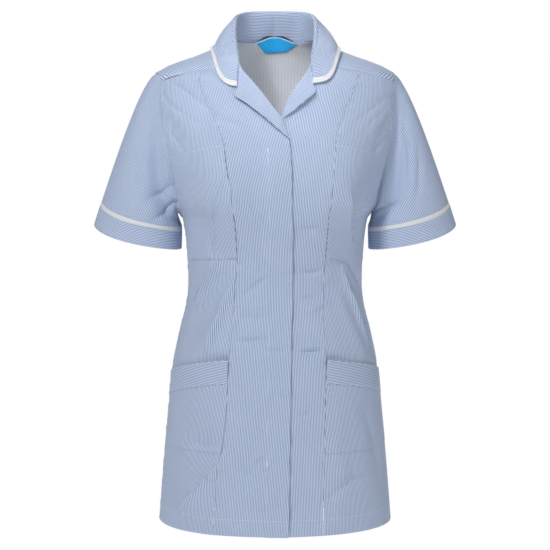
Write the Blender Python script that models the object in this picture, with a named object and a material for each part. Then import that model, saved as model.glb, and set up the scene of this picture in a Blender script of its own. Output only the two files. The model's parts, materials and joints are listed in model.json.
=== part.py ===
"""Short-sleeved work tunic, filled out as it is when worn, with nobody inside it.

Metres, +Z up. The front looks along -Y and the wearer's left is at +X. The origin is midway
between the two points where the shoulders meet the neck, which is where a wearer holds it up.

Every panel lies on one form, the outside of the filled cloth. A place on the form is an angle
round the body (0 at the front, 90 at the wearer's left side, 180 at the back) and a height.
"""

import math
from collections import namedtuple

import bmesh
import bpy
from mathutils import Vector

# Driving dimensions
WALL = 0.0012  # cloth with its seam allowances
PATCH_WALL = 0.0010  # a pocket's single layer
SEAM_GAP = 0.0003  # between two pieces at a seam
LAYER_GAP = 0.0004  # between a panel and what lies on it
FLY_LIFT = 0.0026  # how far the overlapping front stands off the one below
FLY_START = -0.022  # where that lift begins, across the front
FLY_FULL = -0.006  # where it is complete
UNDERLAP_EDGE = -0.004  # free edge of the front that lies below
POCKET_INSET = 0.0006  # a pocket's side edges, from the panel's
ARMHOLE_INSET = 0.0025  # a breast pocket's outer edge, from the armhole seam
BREAST_POCKET_GAP = 0.0007  # it lies on a rounder place, so it is further off
TRIM_WIDTH = 0.0085  # white band on the collar
TURN = 4.0  # degrees that the seams sit round towards the wearer's left
SHARP_EDGE = 50  # degrees between two faces, past which their edge isn't smoothed

# The form's horizontal sections, hem first. Fullness squares the corners of the oval.
Section = namedtuple("Section", "height half_width front back fullness")
SECTIONS = [
    Section(-0.762, 0.1840, 0.1345, 0.1390, 0.030),
    Section(-0.660, 0.1760, 0.1335, 0.1390, 0.030),
    Section(-0.560, 0.1665, 0.1290, 0.1320, 0.030),
    Section(-0.520, 0.1630, 0.1260, 0.1260, 0.030),
    Section(-0.455, 0.1505, 0.1190, 0.1100, 0.025),
    Section(-0.410, 0.1395, 0.1120, 0.0980, 0.020),
    Section(-0.380, 0.1365, 0.1100, 0.0940, 0.020),
    Section(-0.345, 0.1375, 0.1130, 0.0960, 0.025),
    Section(-0.313, 0.1395, 0.1180, 0.1010, 0.035),
    Section(-0.280, 0.1445, 0.1230, 0.1060, 0.045),
    Section(-0.255, 0.1580, 0.1250, 0.1100, 0.050),
    Section(-0.220, 0.1700, 0.1245, 0.1130, 0.045),
    Section(-0.180, 0.1820, 0.1200, 0.1150, 0.035),
    Section(-0.140, 0.1890, 0.1110, 0.1130, 0.025),
    Section(-0.100, 0.1920, 0.0985, 0.1060, 0.010),
    Section(-0.075, 0.1930, 0.0905, 0.0990, 0.000),
    Section(-0.058, 0.1915, 0.0850, 0.0940, 0.000),
    Section(-0.044, 0.1730, 0.0790, 0.0890, 0.000),
    Section(-0.034, 0.1490, 0.0735, 0.0850, 0.000),
    Section(-0.027, 0.1280, 0.0685, 0.0820, 0.000),
    Section(-0.016, 0.1000, 0.0595, 0.0770, 0.000),
    Section(-0.008, 0.0810, 0.0500, 0.0730, 0.000),
    Section(0.000, 0.0620, 0.0390, 0.0710, 0.000),
    Section(0.007, 0.0530, 0.0310, 0.0690, 0.000),
    Section(0.013, 0.0460, 0.0240, 0.0665, 0.000),
]
SHOULDER_START = -0.086  # above this the back is followed from front to back, over the shoulder

# Heights where each row of the front panels meets the front edge, the princess seam and the side.
Row = namedtuple("Row", "front princess side")
ROWS = [
    Row(-0.7603, -0.7590, -0.7512),
    Row(-0.726, -0.725, -0.718),
    Row(-0.694, -0.693, -0.687),
    Row(-0.664, -0.664, -0.657),
    Row(-0.635, -0.635, -0.628),
    Row(-0.599, -0.599, -0.604),
    Row(-0.563, -0.564, -0.580),
    Row(-0.528, -0.529, -0.5565),
    Row(-0.494, -0.493, -0.5175),
    Row(-0.462, -0.460, -0.480),
    Row(-0.430, -0.428, -0.444),
    Row(-0.400, -0.398, -0.411),
    Row(-0.370, -0.368, -0.378),
    Row(-0.340, -0.339, -0.345),
    Row(-0.310, -0.309, -0.313),
    Row(-0.280, -0.279, -0.280),
    Row(-0.250, -0.250, -0.256),
    Row(-0.222, -0.222, -0.232),
    Row(-0.196, -0.195, -0.209),
    Row(-0.176, -0.168, -0.186),
    Row(-0.1585, -0.146, -0.160),
    Row(-0.126, -0.122, -0.132),
    Row(-0.095, -0.098, -0.106),
    Row(-0.068, -0.075, -0.084),
    Row(-0.039, -0.0525, -0.067),
]
HIP_POCKET_BOTTOM = 4
HIP_BAND_BOTTOM = 7
HIP_POCKET_TOP = 8
BREAST_POCKET_BOTTOM = 13
UNDERARM = 15
BREAST_POCKET_TOP = 19
SHOULDER_SEAM = len(ROWS) - 1

# Seams, as (height, angle) or (height, distance across from the centre line)
PRINCESS = {
    -1: [(-0.756, -30.2), (-0.690, -29.5), (-0.636, -27.3), (-0.564, -25.4), (-0.490, -25.4),
         (-0.467, -25.7), (-0.403, -25.9), (-0.345, -24.2), (-0.275, -23.2), (-0.235, -22.0),
         (-0.212, -22.7), (-0.164, -23.8), (-0.142, -26.1), (-0.097, -33.3), (-0.0525, -38.9)],
    1: [(-0.756, 23.3), (-0.730, 23.5), (-0.622, 25.3), (-0.542, 27.1), (-0.492, 28.6),
        (-0.438, 29.9), (-0.392, 32.2), (-0.345, 32.7), (-0.308, 32.2), (-0.259, 29.6),
        (-0.218, 28.2), (-0.155, 28.6), (-0.136, 30.5), (-0.097, 36.1), (-0.0525, 43.4)],
}
FRONT_EDGE = {
    -1: [(-0.757, 0.0208), (-0.655, 0.0217), (-0.550, 0.0233), (-0.446, 0.0249),
         (-0.371, 0.0263), (-0.310, 0.0262), (-0.250, 0.0255), (-0.190, 0.0241),
         (-0.1585, 0.0211), (-0.143, 0.0159), (-0.126, 0.0091), (-0.112, -0.0015),
         (-0.094, -0.0149), (-0.072, -0.0326), (-0.052, -0.0491), (-0.039, -0.0545)],
    1: [(-0.757, UNDERLAP_EDGE), (-0.176, UNDERLAP_EDGE), (-0.1585, -0.0040),
        (-0.143, 0.0015), (-0.126, 0.0091), (-0.114, 0.0135), (-0.095, 0.0217),
        (-0.073, 0.0354), (-0.054, 0.0491), (-0.039, 0.0545)],
}
Armhole = namedtuple("Armhole", "height front back")
ARMHOLE = [
    Armhole(-0.280, 90.0, 90.0),
    Armhole(-0.274, 82.0, 98.0),
    Armhole(-0.256, 71.0, 107.0),
    Armhole(-0.232, 68.0, 111.5),
    Armhole(-0.209, 66.5, 114.5),
    Armhole(-0.186, 66.0, 116.0),
    Armhole(-0.160, 67.0, 116.0),
    Armhole(-0.132, 68.0, 115.0),
    Armhole(-0.106, 69.0, 112.0),
    Armhole(-0.084, 69.5, 108.0),
    Armhole(-0.067, 70.0, 104.0),
]
BACK_ARMHOLE_HEIGHTS = [-0.256, -0.232, -0.205, -0.175, -0.145, -0.115, SHOULDER_START]
SHOULDER_STEPS = 5  # rows from there to the shoulder seam
SHOULDER_POWER = 1.7  # the first of them are the closest together
SHOULDER_BULGE = 0.006  # fullness of the armhole's edge over the shoulder
SIDE_DIP_POWER = 1.2  # a side front's rows fall away mostly near the side seam

# Half of the neckline, back first, and the outer end of the shoulder seam, seen from above
NECKLINE = [(0.0, 0.0680), (0.0180, 0.0655), (0.0340, 0.0590), (0.0470, 0.0470),
            (0.0560, 0.0320), (0.0615, 0.0120), (0.0630, -0.0100), (0.0620, -0.0380)]
SHOULDER_SEAM_PIECES = 4
PRINCESS_SHARE = 0.5  # where the princess seam meets the shoulder seam, from its outer end

# Bust fullness: (angle, height), its spread in degrees and metres, and its height
BUST = {-1: -27.0, 1: 34.0}
BUST_HEIGHT = -0.232
BUST_SPREAD = (15.0, 0.072)
BUST_RISE = 0.015

# The largest folds: a path of (angle, height), half its width, and its rise (a trough is below 0)
Fold = namedtuple("Fold", "path half_width rise")
ARC_PER_DEGREE = 0.0026
FOLD_END_POWER = 0.7  # below 1, a fold keeps its rise for longer before it fades at its ends
FOLDS = [
    Fold([(-30, -0.235), (-41, -0.314), (-58, -0.370), (-76, -0.390)], 0.018, 0.0045),
    Fold([(-42, -0.223), (-56, -0.272), (-66, -0.305)], 0.014, 0.0030),
    Fold([(-28, -0.392), (-38, -0.440), (-50, -0.500)], 0.015, 0.0040),
    Fold([(-36, -0.345), (-51, -0.390), (-65, -0.440)], 0.015, 0.0035),
    Fold([(-24, -0.627), (-37, -0.679), (-58, -0.730)], 0.018, 0.0045),
    Fold([(39, -0.240), (46, -0.290), (57, -0.341), (78, -0.386)], 0.018, 0.0045),
    Fold([(43, -0.380), (50, -0.442), (60, -0.495)], 0.015, 0.0040),
    Fold([(30, -0.600), (34, -0.680), (30, -0.745)], 0.018, 0.0035),
    Fold([(-57, -0.068), (-39, -0.106), (-29, -0.136)], 0.014, -0.0025),
    Fold([(-64, -0.111), (-52, -0.146), (-45, -0.174)], 0.012, -0.0030),
    Fold([(70, -0.118), (58, -0.150), (51, -0.174)], 0.012, -0.0030),
    Fold([(132, -0.300), (120, -0.360), (104, -0.395)], 0.018, 0.0040),
    Fold([(228, -0.300), (242, -0.355), (256, -0.390)], 0.018, 0.0040),
    Fold([(150, -0.400), (138, -0.460), (122, -0.520)], 0.018, 0.0035),
    Fold([(208, -0.400), (220, -0.465), (238, -0.525)], 0.018, 0.0035),
    Fold([(150, -0.560), (152, -0.660), (146, -0.750)], 0.024, 0.0040),
    Fold([(205, -0.570), (208, -0.670), (214, -0.750)], 0.024, 0.0040),
]

# Sleeve rings on the wearer's left: outer and inner ends seen from the front, as (across, height)
Ring = namedtuple("Ring", "outer inner depth")
SLEEVE_HEM = Ring((0.2724, -0.2512), (0.1466, -0.2915), 0.0572)
TRIM_HEM = Ring((0.2754, -0.2582), (0.1462, -0.2981), 0.0577)
CUFF_HEM = Ring((0.2850, -0.2882), (0.1470, -0.3265), 0.0602)
RING_CENTRE_Y = 0.003
RING_DROP = (0.0115, 0.0022)  # the cuff hangs lower in front, most of all near its outer end
SLEEVE_UP_OUTER = Vector((-0.318, 0.0, 0.948))
SLEEVE_UP_INNER = Vector((-0.060, 0.0, 0.998))
SLEEVE_START = (0.008, 0.026)  # straight out of the armhole, at the underarm and on top
SLEEVE_HANG = (0.42, 0.62)  # share of its length that hangs straight, in the same places
SLEEVE_ROWS = 8
UNDERARM_EASE = 0.007  # turns the sleeve outwards where it leaves the underarm
UNDERARM_SHARE = 0.3  # and the share of the way to the top at which that has faded
CUFF_ROWS = 2

# Soft trough beside the front armhole, which runs down to the underarm
Trough = namedtuple("Trough", "top_angle hem_angle spread depth fade")
TROUGH = Trough(50, 150, 26, 0.008, 1.2)

# Half of the collar, back first: neck seam seen from above, fold line and outer edge
CollarLine = namedtuple("CollarLine", "neck fold edge")
COLLAR = [
    CollarLine((0.0000, 0.0680), (0.0000, 0.0560, 0.0490), (0.0000, 0.0870, -0.0200)),
    CollarLine((0.0340, 0.0590), (0.0300, 0.0510, 0.0482), (0.0480, 0.0810, -0.0205)),
    CollarLine((0.0530, 0.0375), (0.0495, 0.0345, 0.0445), (0.0820, 0.0560, -0.0210)),
    CollarLine((0.0625, 0.0050), (0.0600, 0.0040, 0.0340), (0.0990, 0.0080, -0.0180)),
    CollarLine((0.0627, -0.0240), (0.0612, -0.0220, 0.0125), (0.0985, -0.0340, -0.0255)),
    CollarLine((0.0600, -0.0480), (0.0588, -0.0460, -0.0110), (0.0935, -0.0610, -0.0420)),
    CollarLine((0.0582, -0.0580), (0.0570, -0.0570, -0.0220), (0.0860, -0.0770, -0.0610)),
    CollarLine((0.0566, -0.0650), (0.0556, -0.0652, -0.0302), (0.0745, -0.0840, -0.0725)),
    CollarLine((0.0552, -0.0700), (0.0549, -0.0722, -0.0360), (0.0570, -0.0880, -0.0765)),
]
COLLAR_SKEW = (0.0020, 0.0026)  # its edge sits towards the wearer's left, and higher there
COLLAR_STEPS = 26
COLLAR_STAND_STEPS = 2
COLLAR_FALL_STEPS = 4
COLLAR_FOLD_RADIUS = (0.0012, 0.0026)  # smallest and largest
COLLAR_FOLD_SHARE = 0.4  # between them, this share of the stand's height
COLLAR_BOW = 0.004
COLLAR_BOW_UP = 0.6  # how much of the fall's bow goes upwards
COLLAR_CLEARANCE = 0.0026
COLLAR_SEAM_GAP = 0.0011  # its stand starts this far above the neckline
COLLAR_REACH = 1.6  # places further out than this many times the form are clear of it
LEAST_FALL = 1.05  # a collar's fall is at least this many times its trim's width

# Lapels seen from the front, as (across, height). The one on the left ends where it passes
# below the overlapping front.
LAPEL = {
    -1: {"top": [(-0.0548, -0.0405), (-0.0556, -0.0780), (-0.0598, -0.0952)],
         "roll": [(-0.0548, -0.0405), (-0.0491, -0.0521), (-0.0326, -0.0718), (-0.0149, -0.0941),
                  (-0.0015, -0.1121), (0.0091, -0.1260), (0.0159, -0.1428), (0.0208, -0.1575)],
         "edge": [(-0.0598, -0.0952), (-0.0425, -0.1065), (-0.0151, -0.1284),
                  (0.0011, -0.1422), (0.0200, -0.1585)]},
    1: {"top": [(0.0548, -0.0405), (0.0561, -0.0730), (0.0612, -0.0890)],
        "roll": [(0.0548, -0.0405), (0.0491, -0.0536), (0.0354, -0.0732), (0.0217, -0.0954),
                 (0.0140, -0.1125), (0.0118, -0.1225)],
        "edge": [(0.0612, -0.0890), (0.0480, -0.1000), (0.0338, -0.1120), (0.0200, -0.1225),
                 (0.0124, -0.1262)]},
}
LAPEL_SEGMENTS = (9, 4)
LAPEL_SPRING = 0.0045  # how far its tip stands off the front
LAPEL_REST = 0.0006  # more than the layer gap, because its facets and the front's don't match

# Neck label: half its top and bottom width, its centre across, and its edges' depth below the
# neckline. Its gap holds its own thickness too.
LABEL = {"top": 0.036, "bottom": 0.0175, "centre": 0.005, "upper": 0.001, "lower": 0.0215,
         "thickness": 0.0006, "gap": 0.0019}

# Columns of each panel
FRONT_COLUMNS = 6
SIDE_COLUMNS = 10
NECK_COLUMNS = 7

COLOURS = {
    "stripe": (0.43, 0.52, 0.68),
    "white": (0.85, 0.86, 0.88),
    "label": (0.04, 0.38, 0.78),
}


def interpolate(table, where):
    """Smooth reading of a table of (place, value) rows sorted by place, without overshoot."""
    if where <= table[0][0]:
        return table[0][1]
    if where >= table[-1][0]:
        return table[-1][1]
    last = len(table) - 1
    k = next(i for i in range(last) if table[i + 1][0] >= where)
    steps = [table[i + 1][0] - table[i][0] for i in range(last)]
    slopes = [(table[i + 1][1] - table[i][1]) / steps[i] for i in range(last)]

    def tangent(i):
        if i in (0, last):
            return slopes[min(i, last - 1)]
        before, after = slopes[i - 1], slopes[i]
        return 0.0 if before * after <= 0 else 2 * before * after / (before + after)

    t = (where - table[k][0]) / steps[k]
    rise = (2 * t**3 - 3 * t**2 + 1) * table[k][1] + (3 * t**2 - 2 * t**3) * table[k + 1][1]
    lean = (t**3 - 2 * t**2 + t) * tangent(k) + (t**3 - t**2) * tangent(k + 1)
    return rise + lean * steps[k]


SECTION_COLUMNS = {
    name: [(s.height, getattr(s, name)) for s in SECTIONS]
    for name in ("half_width", "front", "back", "fullness")
}


def section(height):
    return [interpolate(SECTION_COLUMNS[n], height) for n in ("half_width", "front", "back", "fullness")]


def smooth_step(low, high, value):
    t = min(1.0, max(0.0, (value - low) / (high - low)))
    return t * t * (3 - 2 * t)


def blend(a, b, t):
    return a + (b - a) * t


def form_point(angle, height):
    """A point of the plain form, before bust fullness and folds."""
    half_width, front, back, fullness = section(height)
    a = math.radians(angle)
    depth = front if math.cos(a) > 0 else back
    spread = 1 + fullness * math.sin(2 * a) ** 2
    return Vector((half_width * math.sin(a) * spread, -depth * math.cos(a) * spread, height))


def form_normal(angle, height):
    turn, climb = 0.5, 0.0015
    round_body = form_point(angle + turn, height) - form_point(angle - turn, height)
    upwards = form_point(angle, height + climb) - form_point(angle, height - climb)
    return round_body.cross(upwards).normalized()


def fold_rise(angle, height):
    """Sum of the folds at a place, each a soft ridge that fades at both ends."""
    total = 0.0
    for fold in FOLDS:
        best, along = None, 0.0
        run = 0.0
        for (a0, z0), (a1, z1) in zip(fold.path, fold.path[1:]):
            ax, az = (a1 - a0) * ARC_PER_DEGREE, z1 - z0
            px, pz = (angle - a0) * ARC_PER_DEGREE, height - z0
            length = math.hypot(ax, az)
            t = min(1.0, max(0.0, (px * ax + pz * az) / length**2))
            gap = math.hypot(px - ax * t, pz - az * t)
            if best is None or gap < best:
                best, along = gap, run + t * length
            run += length
        ends = math.sin(math.pi * min(1.0, max(0.0, along / run))) ** FOLD_END_POWER
        total += fold.rise * ends * math.exp(-((best / fold.half_width) ** 2))
    return total


def bust_rise(angle, height):
    total = 0.0
    for centre in BUST.values():
        across = (angle - centre) / BUST_SPREAD[0]
        up = (height - BUST_HEIGHT) / BUST_SPREAD[1]
        total += BUST_RISE * math.exp(-across * across - up * up)
    return total


def skin(angle, height, lift=0.0):
    """(outer point, outward unit vector) of the cloth at a place on the form."""
    wrapped = angle % 360
    signed = wrapped - 360 if wrapped > 180 else wrapped
    rise = bust_rise(signed, height) + fold_rise(signed, height)
    rise += fold_rise(wrapped, height) if signed < 0 else 0.0
    outward = form_normal(angle, height)
    return form_point(angle, height) + outward * (rise + lift), outward


def angle_across(across, height):
    """The angle at which the front of the form is a given distance across from its middle."""
    low, high = -89.0, 89.0
    for _ in range(40):
        middle = (low + high) / 2
        if form_point(middle, height).x < across:
            low = middle
        else:
            high = middle
    return low


def height_above(across, depth):
    """Height of the form's top surface over a point seen from above."""
    low, high = -0.200, SECTIONS[-1].height
    for _ in range(40):
        middle = (low + high) / 2
        half_width, front, back, _ = section(middle)
        reach = (across / half_width) ** 2 + (depth / (front if depth < 0 else back)) ** 2
        if reach < 1:
            low = middle
        else:
            high = middle
    return low


def place_above(across, depth):
    """(angle, height) of the form's top surface over a point seen from above."""
    height = height_above(across, depth)
    half_width, front, back, _ = section(height)
    side = across / half_width
    fore = -depth / (front if depth < 0 else back)
    return math.degrees(math.atan2(side, fore)), height


def fly_lift(across):
    return FLY_LIFT * smooth_step(FLY_START, FLY_FULL, across)


def side_angle(side):
    return side * 90 + TURN


def armhole_angle(side, height, part):
    rows = [(a.height, getattr(a, part)) for a in ARMHOLE]
    return side * interpolate(rows, height) + TURN


Cell = namedtuple("Cell", "point outward")


def clear(cell, along, distance):
    return Cell(cell.point + along * distance, cell.outward)


def pull_back(cells, distance, at_start, at_end):
    """Shortens a line of cells at its ends, to leave half a seam gap there."""
    cells = list(cells)
    if at_start:
        cells[0] = clear(cells[0], (cells[1].point - cells[0].point).normalized(), distance)
    if at_end:
        cells[-1] = clear(cells[-1], (cells[-2].point - cells[-1].point).normalized(), distance)
    return cells


def seam_gaps(grid, sides=True, top=False, bottom=False):
    """Half a seam gap at the panel's edges."""
    half = SEAM_GAP / 2
    grid = [pull_back(row, half, sides, sides) for row in grid]
    columns = [pull_back(column, half, bottom, top) for column in zip(*grid)]
    return [list(row) for row in zip(*columns)]


def moved_out(grid, distance):
    return [[clear(c, c.outward, distance) for c in row] for row in grid]


def cloth(name, grid, colour, wall=WALL, tube=False):
    """A wall of cloth: a grid of cells, thickened away from its outward side."""
    rows, columns = len(grid) - 1, len(grid[0]) - 1
    mesh = bmesh.new()
    bmesh.ops.create_grid(mesh, x_segments=columns, y_segments=rows, size=0.5)
    inward = mesh.verts.layers.float_vector.new("inward")
    for vertex, cell in zip(mesh.verts, [cell for row in grid for cell in row]):
        vertex.co = cell.point
        vertex[inward] = -cell.outward * wall
    if tube:
        bmesh.ops.remove_doubles(mesh, verts=mesh.verts, dist=1e-6)
    extruded = bmesh.ops.extrude_face_region(mesh, geom=mesh.faces[:], use_keep_orig=True)
    for item in extruded["geom"]:
        if isinstance(item, bmesh.types.BMVert):
            item.co += item[inward]
    bmesh.ops.recalc_face_normals(mesh, faces=mesh.faces)
    data = bpy.data.meshes.new(name)
    mesh.to_mesh(data)
    mesh.free()
    data.shade_smooth()
    data.set_sharp_from_angle(angle=math.radians(SHARP_EDGE))
    data.materials.append(finish(colour))
    piece = bpy.data.objects.new(name, data)
    TUNIC.objects.link(piece)
    return piece


def finish(colour):
    if colour in bpy.data.materials:
        return bpy.data.materials[colour]
    material = bpy.data.materials.new(colour)
    material.use_nodes = True
    shader = material.node_tree.nodes["Principled BSDF"]
    shader.inputs["Base Color"].default_value = (*COLOURS[colour], 1.0)
    shader.inputs["Roughness"].default_value = 0.9
    shader.inputs["Metallic"].default_value = 0.0
    return material


def shoulder_seam(side):
    """Points of the shoulder seam, from the armhole to the neck, on straight stretches."""
    outer_height = ROWS[SHOULDER_SEAM].side
    outer_angle = armhole_angle(side, outer_height, "front")
    neck_height = ROWS[SHOULDER_SEAM].front
    neck_angle = angle_across(interpolate(FRONT_EDGE[side], neck_height), neck_height)
    princess_height = ROWS[SHOULDER_SEAM].princess
    princess_angle = interpolate(PRINCESS[side], princess_height)
    path = [(0.0, outer_angle), (PRINCESS_SHARE, princess_angle), (1.0, neck_angle)]
    heights = [(0.0, outer_height), (PRINCESS_SHARE, princess_height), (1.0, neck_height)]
    cells = []
    for k in range(SHOULDER_SEAM_PIECES + 1):
        t = k / SHOULDER_SEAM_PIECES
        cells.append(Cell(*skin(interpolate(path, t), interpolate(heights, t))))
    return cells


def along_seam(cells, share):
    """A place on a seam's straight stretches, from its first cell (0) to its last (1)."""
    spot = min(share * (len(cells) - 1), len(cells) - 1 - 1e-9)
    k = int(spot)
    a, b = cells[k], cells[k + 1]
    return Cell(a.point.lerp(b.point, spot - k), a.outward.lerp(b.outward, spot - k).normalized())


def front_panel(side):
    """Centre front from the free edge or roll line to the princess seam."""
    shoulder = shoulder_seam(side)
    grid = []
    for index, row in enumerate(ROWS):
        edge = angle_across(interpolate(FRONT_EDGE[side], row.front), row.front)
        seam = interpolate(PRINCESS[side], row.princess)
        cells = []
        for k in range(FRONT_COLUMNS + 1):
            t = k / FRONT_COLUMNS
            if index == SHOULDER_SEAM:
                cells.append(along_seam(shoulder, blend(1.0, PRINCESS_SHARE, t)))
                continue
            angle, height = blend(edge, seam, t), blend(row.front, row.princess, t)
            lift = fly_lift(form_point(angle, height).x) if side < 0 else 0.0
            cells.append(Cell(*skin(angle, height, lift)))
        grid.append(cells)
    return seam_gaps(grid, sides=True, top=True)


def side_panel(side):
    """Side front from the princess seam to the side seam, and above it to the armhole."""
    shoulder = shoulder_seam(side)
    grid = []
    for index, row in enumerate(ROWS):
        seam = interpolate(PRINCESS[side], row.princess)
        outer = side_angle(side) if index <= UNDERARM else armhole_angle(side, row.side, "front")
        cells = []
        for k in range(SIDE_COLUMNS + 1):
            t = k / SIDE_COLUMNS
            if index == SHOULDER_SEAM:
                cells.append(along_seam(shoulder, blend(PRINCESS_SHARE, 0.0, t)))
                continue
            height = blend(row.princess, row.side, t**SIDE_DIP_POWER)
            cells.append(Cell(*skin(blend(seam, outer, t), height)))
        grid.append(cells)
    return grid


def neckline_path(side):
    """Neckline from the shoulder seam's neck end to the middle of the back, seen from above."""
    end = shoulder_seam(side)[-1].point
    front = [(end.x, end.y)]
    return front + [(side * x, y) for x, y in reversed(NECKLINE)]


def top_of_back():
    """Top edge of the back, from one shoulder seam's armhole end to the other's."""
    halves = {}
    for side in (-1, 1):
        cells = list(shoulder_seam(side))
        path = neckline_path(side)
        stations = [(float(i), p) for i, p in enumerate(path)]
        for k in range(1, NECK_COLUMNS + 1):
            spot = k / NECK_COLUMNS * (len(path) - 1)
            across = interpolate([(s, p[0]) for s, p in stations], spot)
            depth = interpolate([(s, p[1]) for s, p in stations], spot)
            cells.append(Cell(*skin(*place_above(across, depth))))
        halves[side] = cells
    return halves[-1] + halves[1][-2::-1]


def back_panel():
    """Back from side seam to side seam, over the shoulders to the shoulder seams in front."""
    top = top_of_back()
    columns = len(top) - 1
    grid = []
    lower = [row.side for row in ROWS[: UNDERARM + 1]] + BACK_ARMHOLE_HEIGHTS
    for height in lower:
        if height <= ROWS[UNDERARM].side:
            start, stop = 270 + TURN, 90 + TURN
        else:
            start = 360 + armhole_angle(-1, height, "back")
            stop = armhole_angle(1, height, "back")
        row = []
        for k in range(columns + 1):
            row.append(Cell(*skin(blend(start, stop, k / columns), height)))
        grid.append(row)
    plain = [form_point(blend(start, stop, k / columns), SHOULDER_START) for k in range(columns + 1)]
    for step in range(1, SHOULDER_STEPS + 1):
        if step == SHOULDER_STEPS:
            grid.append(top)
            continue
        t = (step / SHOULDER_STEPS) ** SHOULDER_POWER
        row = []
        for k in range(columns + 1):
            across = blend(plain[k].x, top[k].point.x, t)
            depth = blend(plain[k].y, top[k].point.y, t)
            if k in (0, columns):
                bulge = math.sin(math.pi * t) * SHOULDER_BULGE
                across += bulge if k else -bulge
            row.append(Cell(*skin(*place_above(across, depth))))
        grid.append(row)
    return grid


def armhole_loop(side, side_grid, back_grid):
    """Cells round the armhole, from the underarm up the front and down the back."""
    front = [row[-1] for row in side_grid[UNDERARM:]]
    edge = -1 if side > 0 else 0
    back = [row[edge] for row in back_grid[UNDERARM:]]
    return front + back[-2::-1]


def ring_point(ring, side, around):
    """A point of a sleeve ring: 0 degrees at its outer end, 90 in front, 180 by the body."""
    outer = Vector((ring.outer[0], 0.0, ring.outer[1]))
    inner = Vector((ring.inner[0], 0.0, ring.inner[1]))
    a = math.radians(around)
    point = (outer + inner) / 2 + (outer - inner) / 2 * math.cos(a)
    point.y = RING_CENTRE_Y - ring.depth * math.sin(a)
    point.z -= RING_DROP[0] * math.sin(a) + RING_DROP[1] * math.sin(2 * a)
    point.x *= side
    return point


def loop_angles(loop):
    """Degrees round the sleeve for each armhole cell: 180 underarm, 0 at the shoulder's top."""
    peak = max(range(len(loop)), key=lambda k: loop[k].point.z)
    lengths = [0.0]
    for a, b in zip(loop, loop[1:]):
        lengths.append(lengths[-1] + (b.point - a.point).length)
    angles = []
    for k in range(len(loop)):
        if k <= peak:
            angles.append(180 - 180 * lengths[k] / lengths[peak])
        else:
            angles.append(-180 * (lengths[k] - lengths[peak]) / (lengths[-1] - lengths[peak]))
    return angles


def normals_of(points, side):
    """Outward unit vectors of a grid of points that runs round a tube."""
    rows, columns = len(points), len(points[0])
    result = []
    for i in range(rows):
        line = []
        for j in range(columns):
            after, before = points[i][(j + 1) % (columns - 1)], points[i][(j - 1) % (columns - 1)]
            down = points[min(i + 1, rows - 1)][j] - points[max(i - 1, 0)][j]
            line.append((before - after).cross(down).normalized() * side)
        result.append(line)
    return result


def sleeve_grid(side, loop):
    """Sleeve from the armhole to its hem, as a curve for each armhole cell."""
    angles = loop_angles(loop)
    count = len(loop) - 1
    curves = []
    for k in range(count):
        cell = loop[k]
        tangent = (loop[(k + 1) % count].point - loop[(k - 1) % count].point).normalized()
        away = tangent.cross(cell.outward) * side
        away.normalize()
        around = math.radians(angles[k])
        top = (1 + math.cos(around)) / 2
        start = cell.point + away * SEAM_GAP
        end = ring_point(SLEEVE_HEM, side, angles[k])
        reach = (end - start).length
        up = SLEEVE_UP_INNER.lerp(SLEEVE_UP_OUTER, top)
        up = Vector((up.x * side, up.y, up.z))
        first = start + away * blend(*SLEEVE_START, top)
        first += cell.outward * UNDERARM_EASE * (1 - smooth_step(0.0, UNDERARM_SHARE, top))
        second = end + up * reach * blend(*SLEEVE_HANG, top)
        curve = []
        for i in range(SLEEVE_ROWS + 1):
            t = i / SLEEVE_ROWS
            u = 1 - t
            point = start * u**3 + first * 3 * u * u * t + second * 3 * u * t * t + end * t**3
            curve.append(point)
        curves.append(curve)
    curves.append(curves[0])
    points = [[curve[i] for curve in curves] for i in range(SLEEVE_ROWS + 1)]
    outwards = normals_of(points, side)
    grid = []
    for i, line in enumerate(points):
        t = i / SLEEVE_ROWS
        cells = []
        for k, point in enumerate(line):
            outward = loop[k % count].outward if i == 0 else outwards[i][k]
            around = angles[k % count]
            middle = blend(TROUGH.top_angle, TROUGH.hem_angle, t)
            depth = TROUGH.depth * math.sin(math.pi * t) ** TROUGH.fade
            depth *= math.exp(-(((around - middle) / TROUGH.spread) ** 2))
            cells.append(Cell(point - outward * depth, outward))
        grid.append(cells)
    return grid, angles[:count]


def band_grid(side, upper, lower, angles, rows):
    """A straight band round the sleeve between two rings."""
    points = []
    for i in range(rows + 1):
        t = i / rows
        line = [ring_point(upper, side, a).lerp(ring_point(lower, side, a), t) for a in angles]
        points.append(line + [line[0]])
    outwards = normals_of(points, side)
    grid = [[Cell(p, n) for p, n in zip(line, normal)] for line, normal in zip(points, outwards)]
    half = SEAM_GAP / 2
    columns = [pull_back(column, half, True, True) for column in zip(*grid)]
    return [list(row) for row in zip(*columns)]


def collar_station(t):
    """Neck, fold and edge points at a share of the collar, from -1 to 1 with 0 at the back."""
    side = -1 if t < 0 else 1
    spot = abs(t) * (len(COLLAR) - 1)

    def read(part, axis):
        rows = [(float(i), getattr(line, part)[axis]) for i, line in enumerate(COLLAR)]
        return interpolate(rows, spot)

    across, depth = side * read("neck", 0), read("neck", 1)
    place = place_above(across, depth)
    base, outward = skin(*place)
    fold = Vector((side * read("fold", 0), read("fold", 1), read("fold", 2)))
    edge = Vector((side * read("edge", 0), read("edge", 1), read("edge", 2)))
    skew = smooth_step(0.1, 0.6, abs(t))
    edge.x += COLLAR_SKEW[0] * skew * (1 - smooth_step(0.8, 1.0, abs(t)))
    edge.z += COLLAR_SKEW[1] * skew * side
    return base + outward * COLLAR_SEAM_GAP, fold, edge


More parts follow.
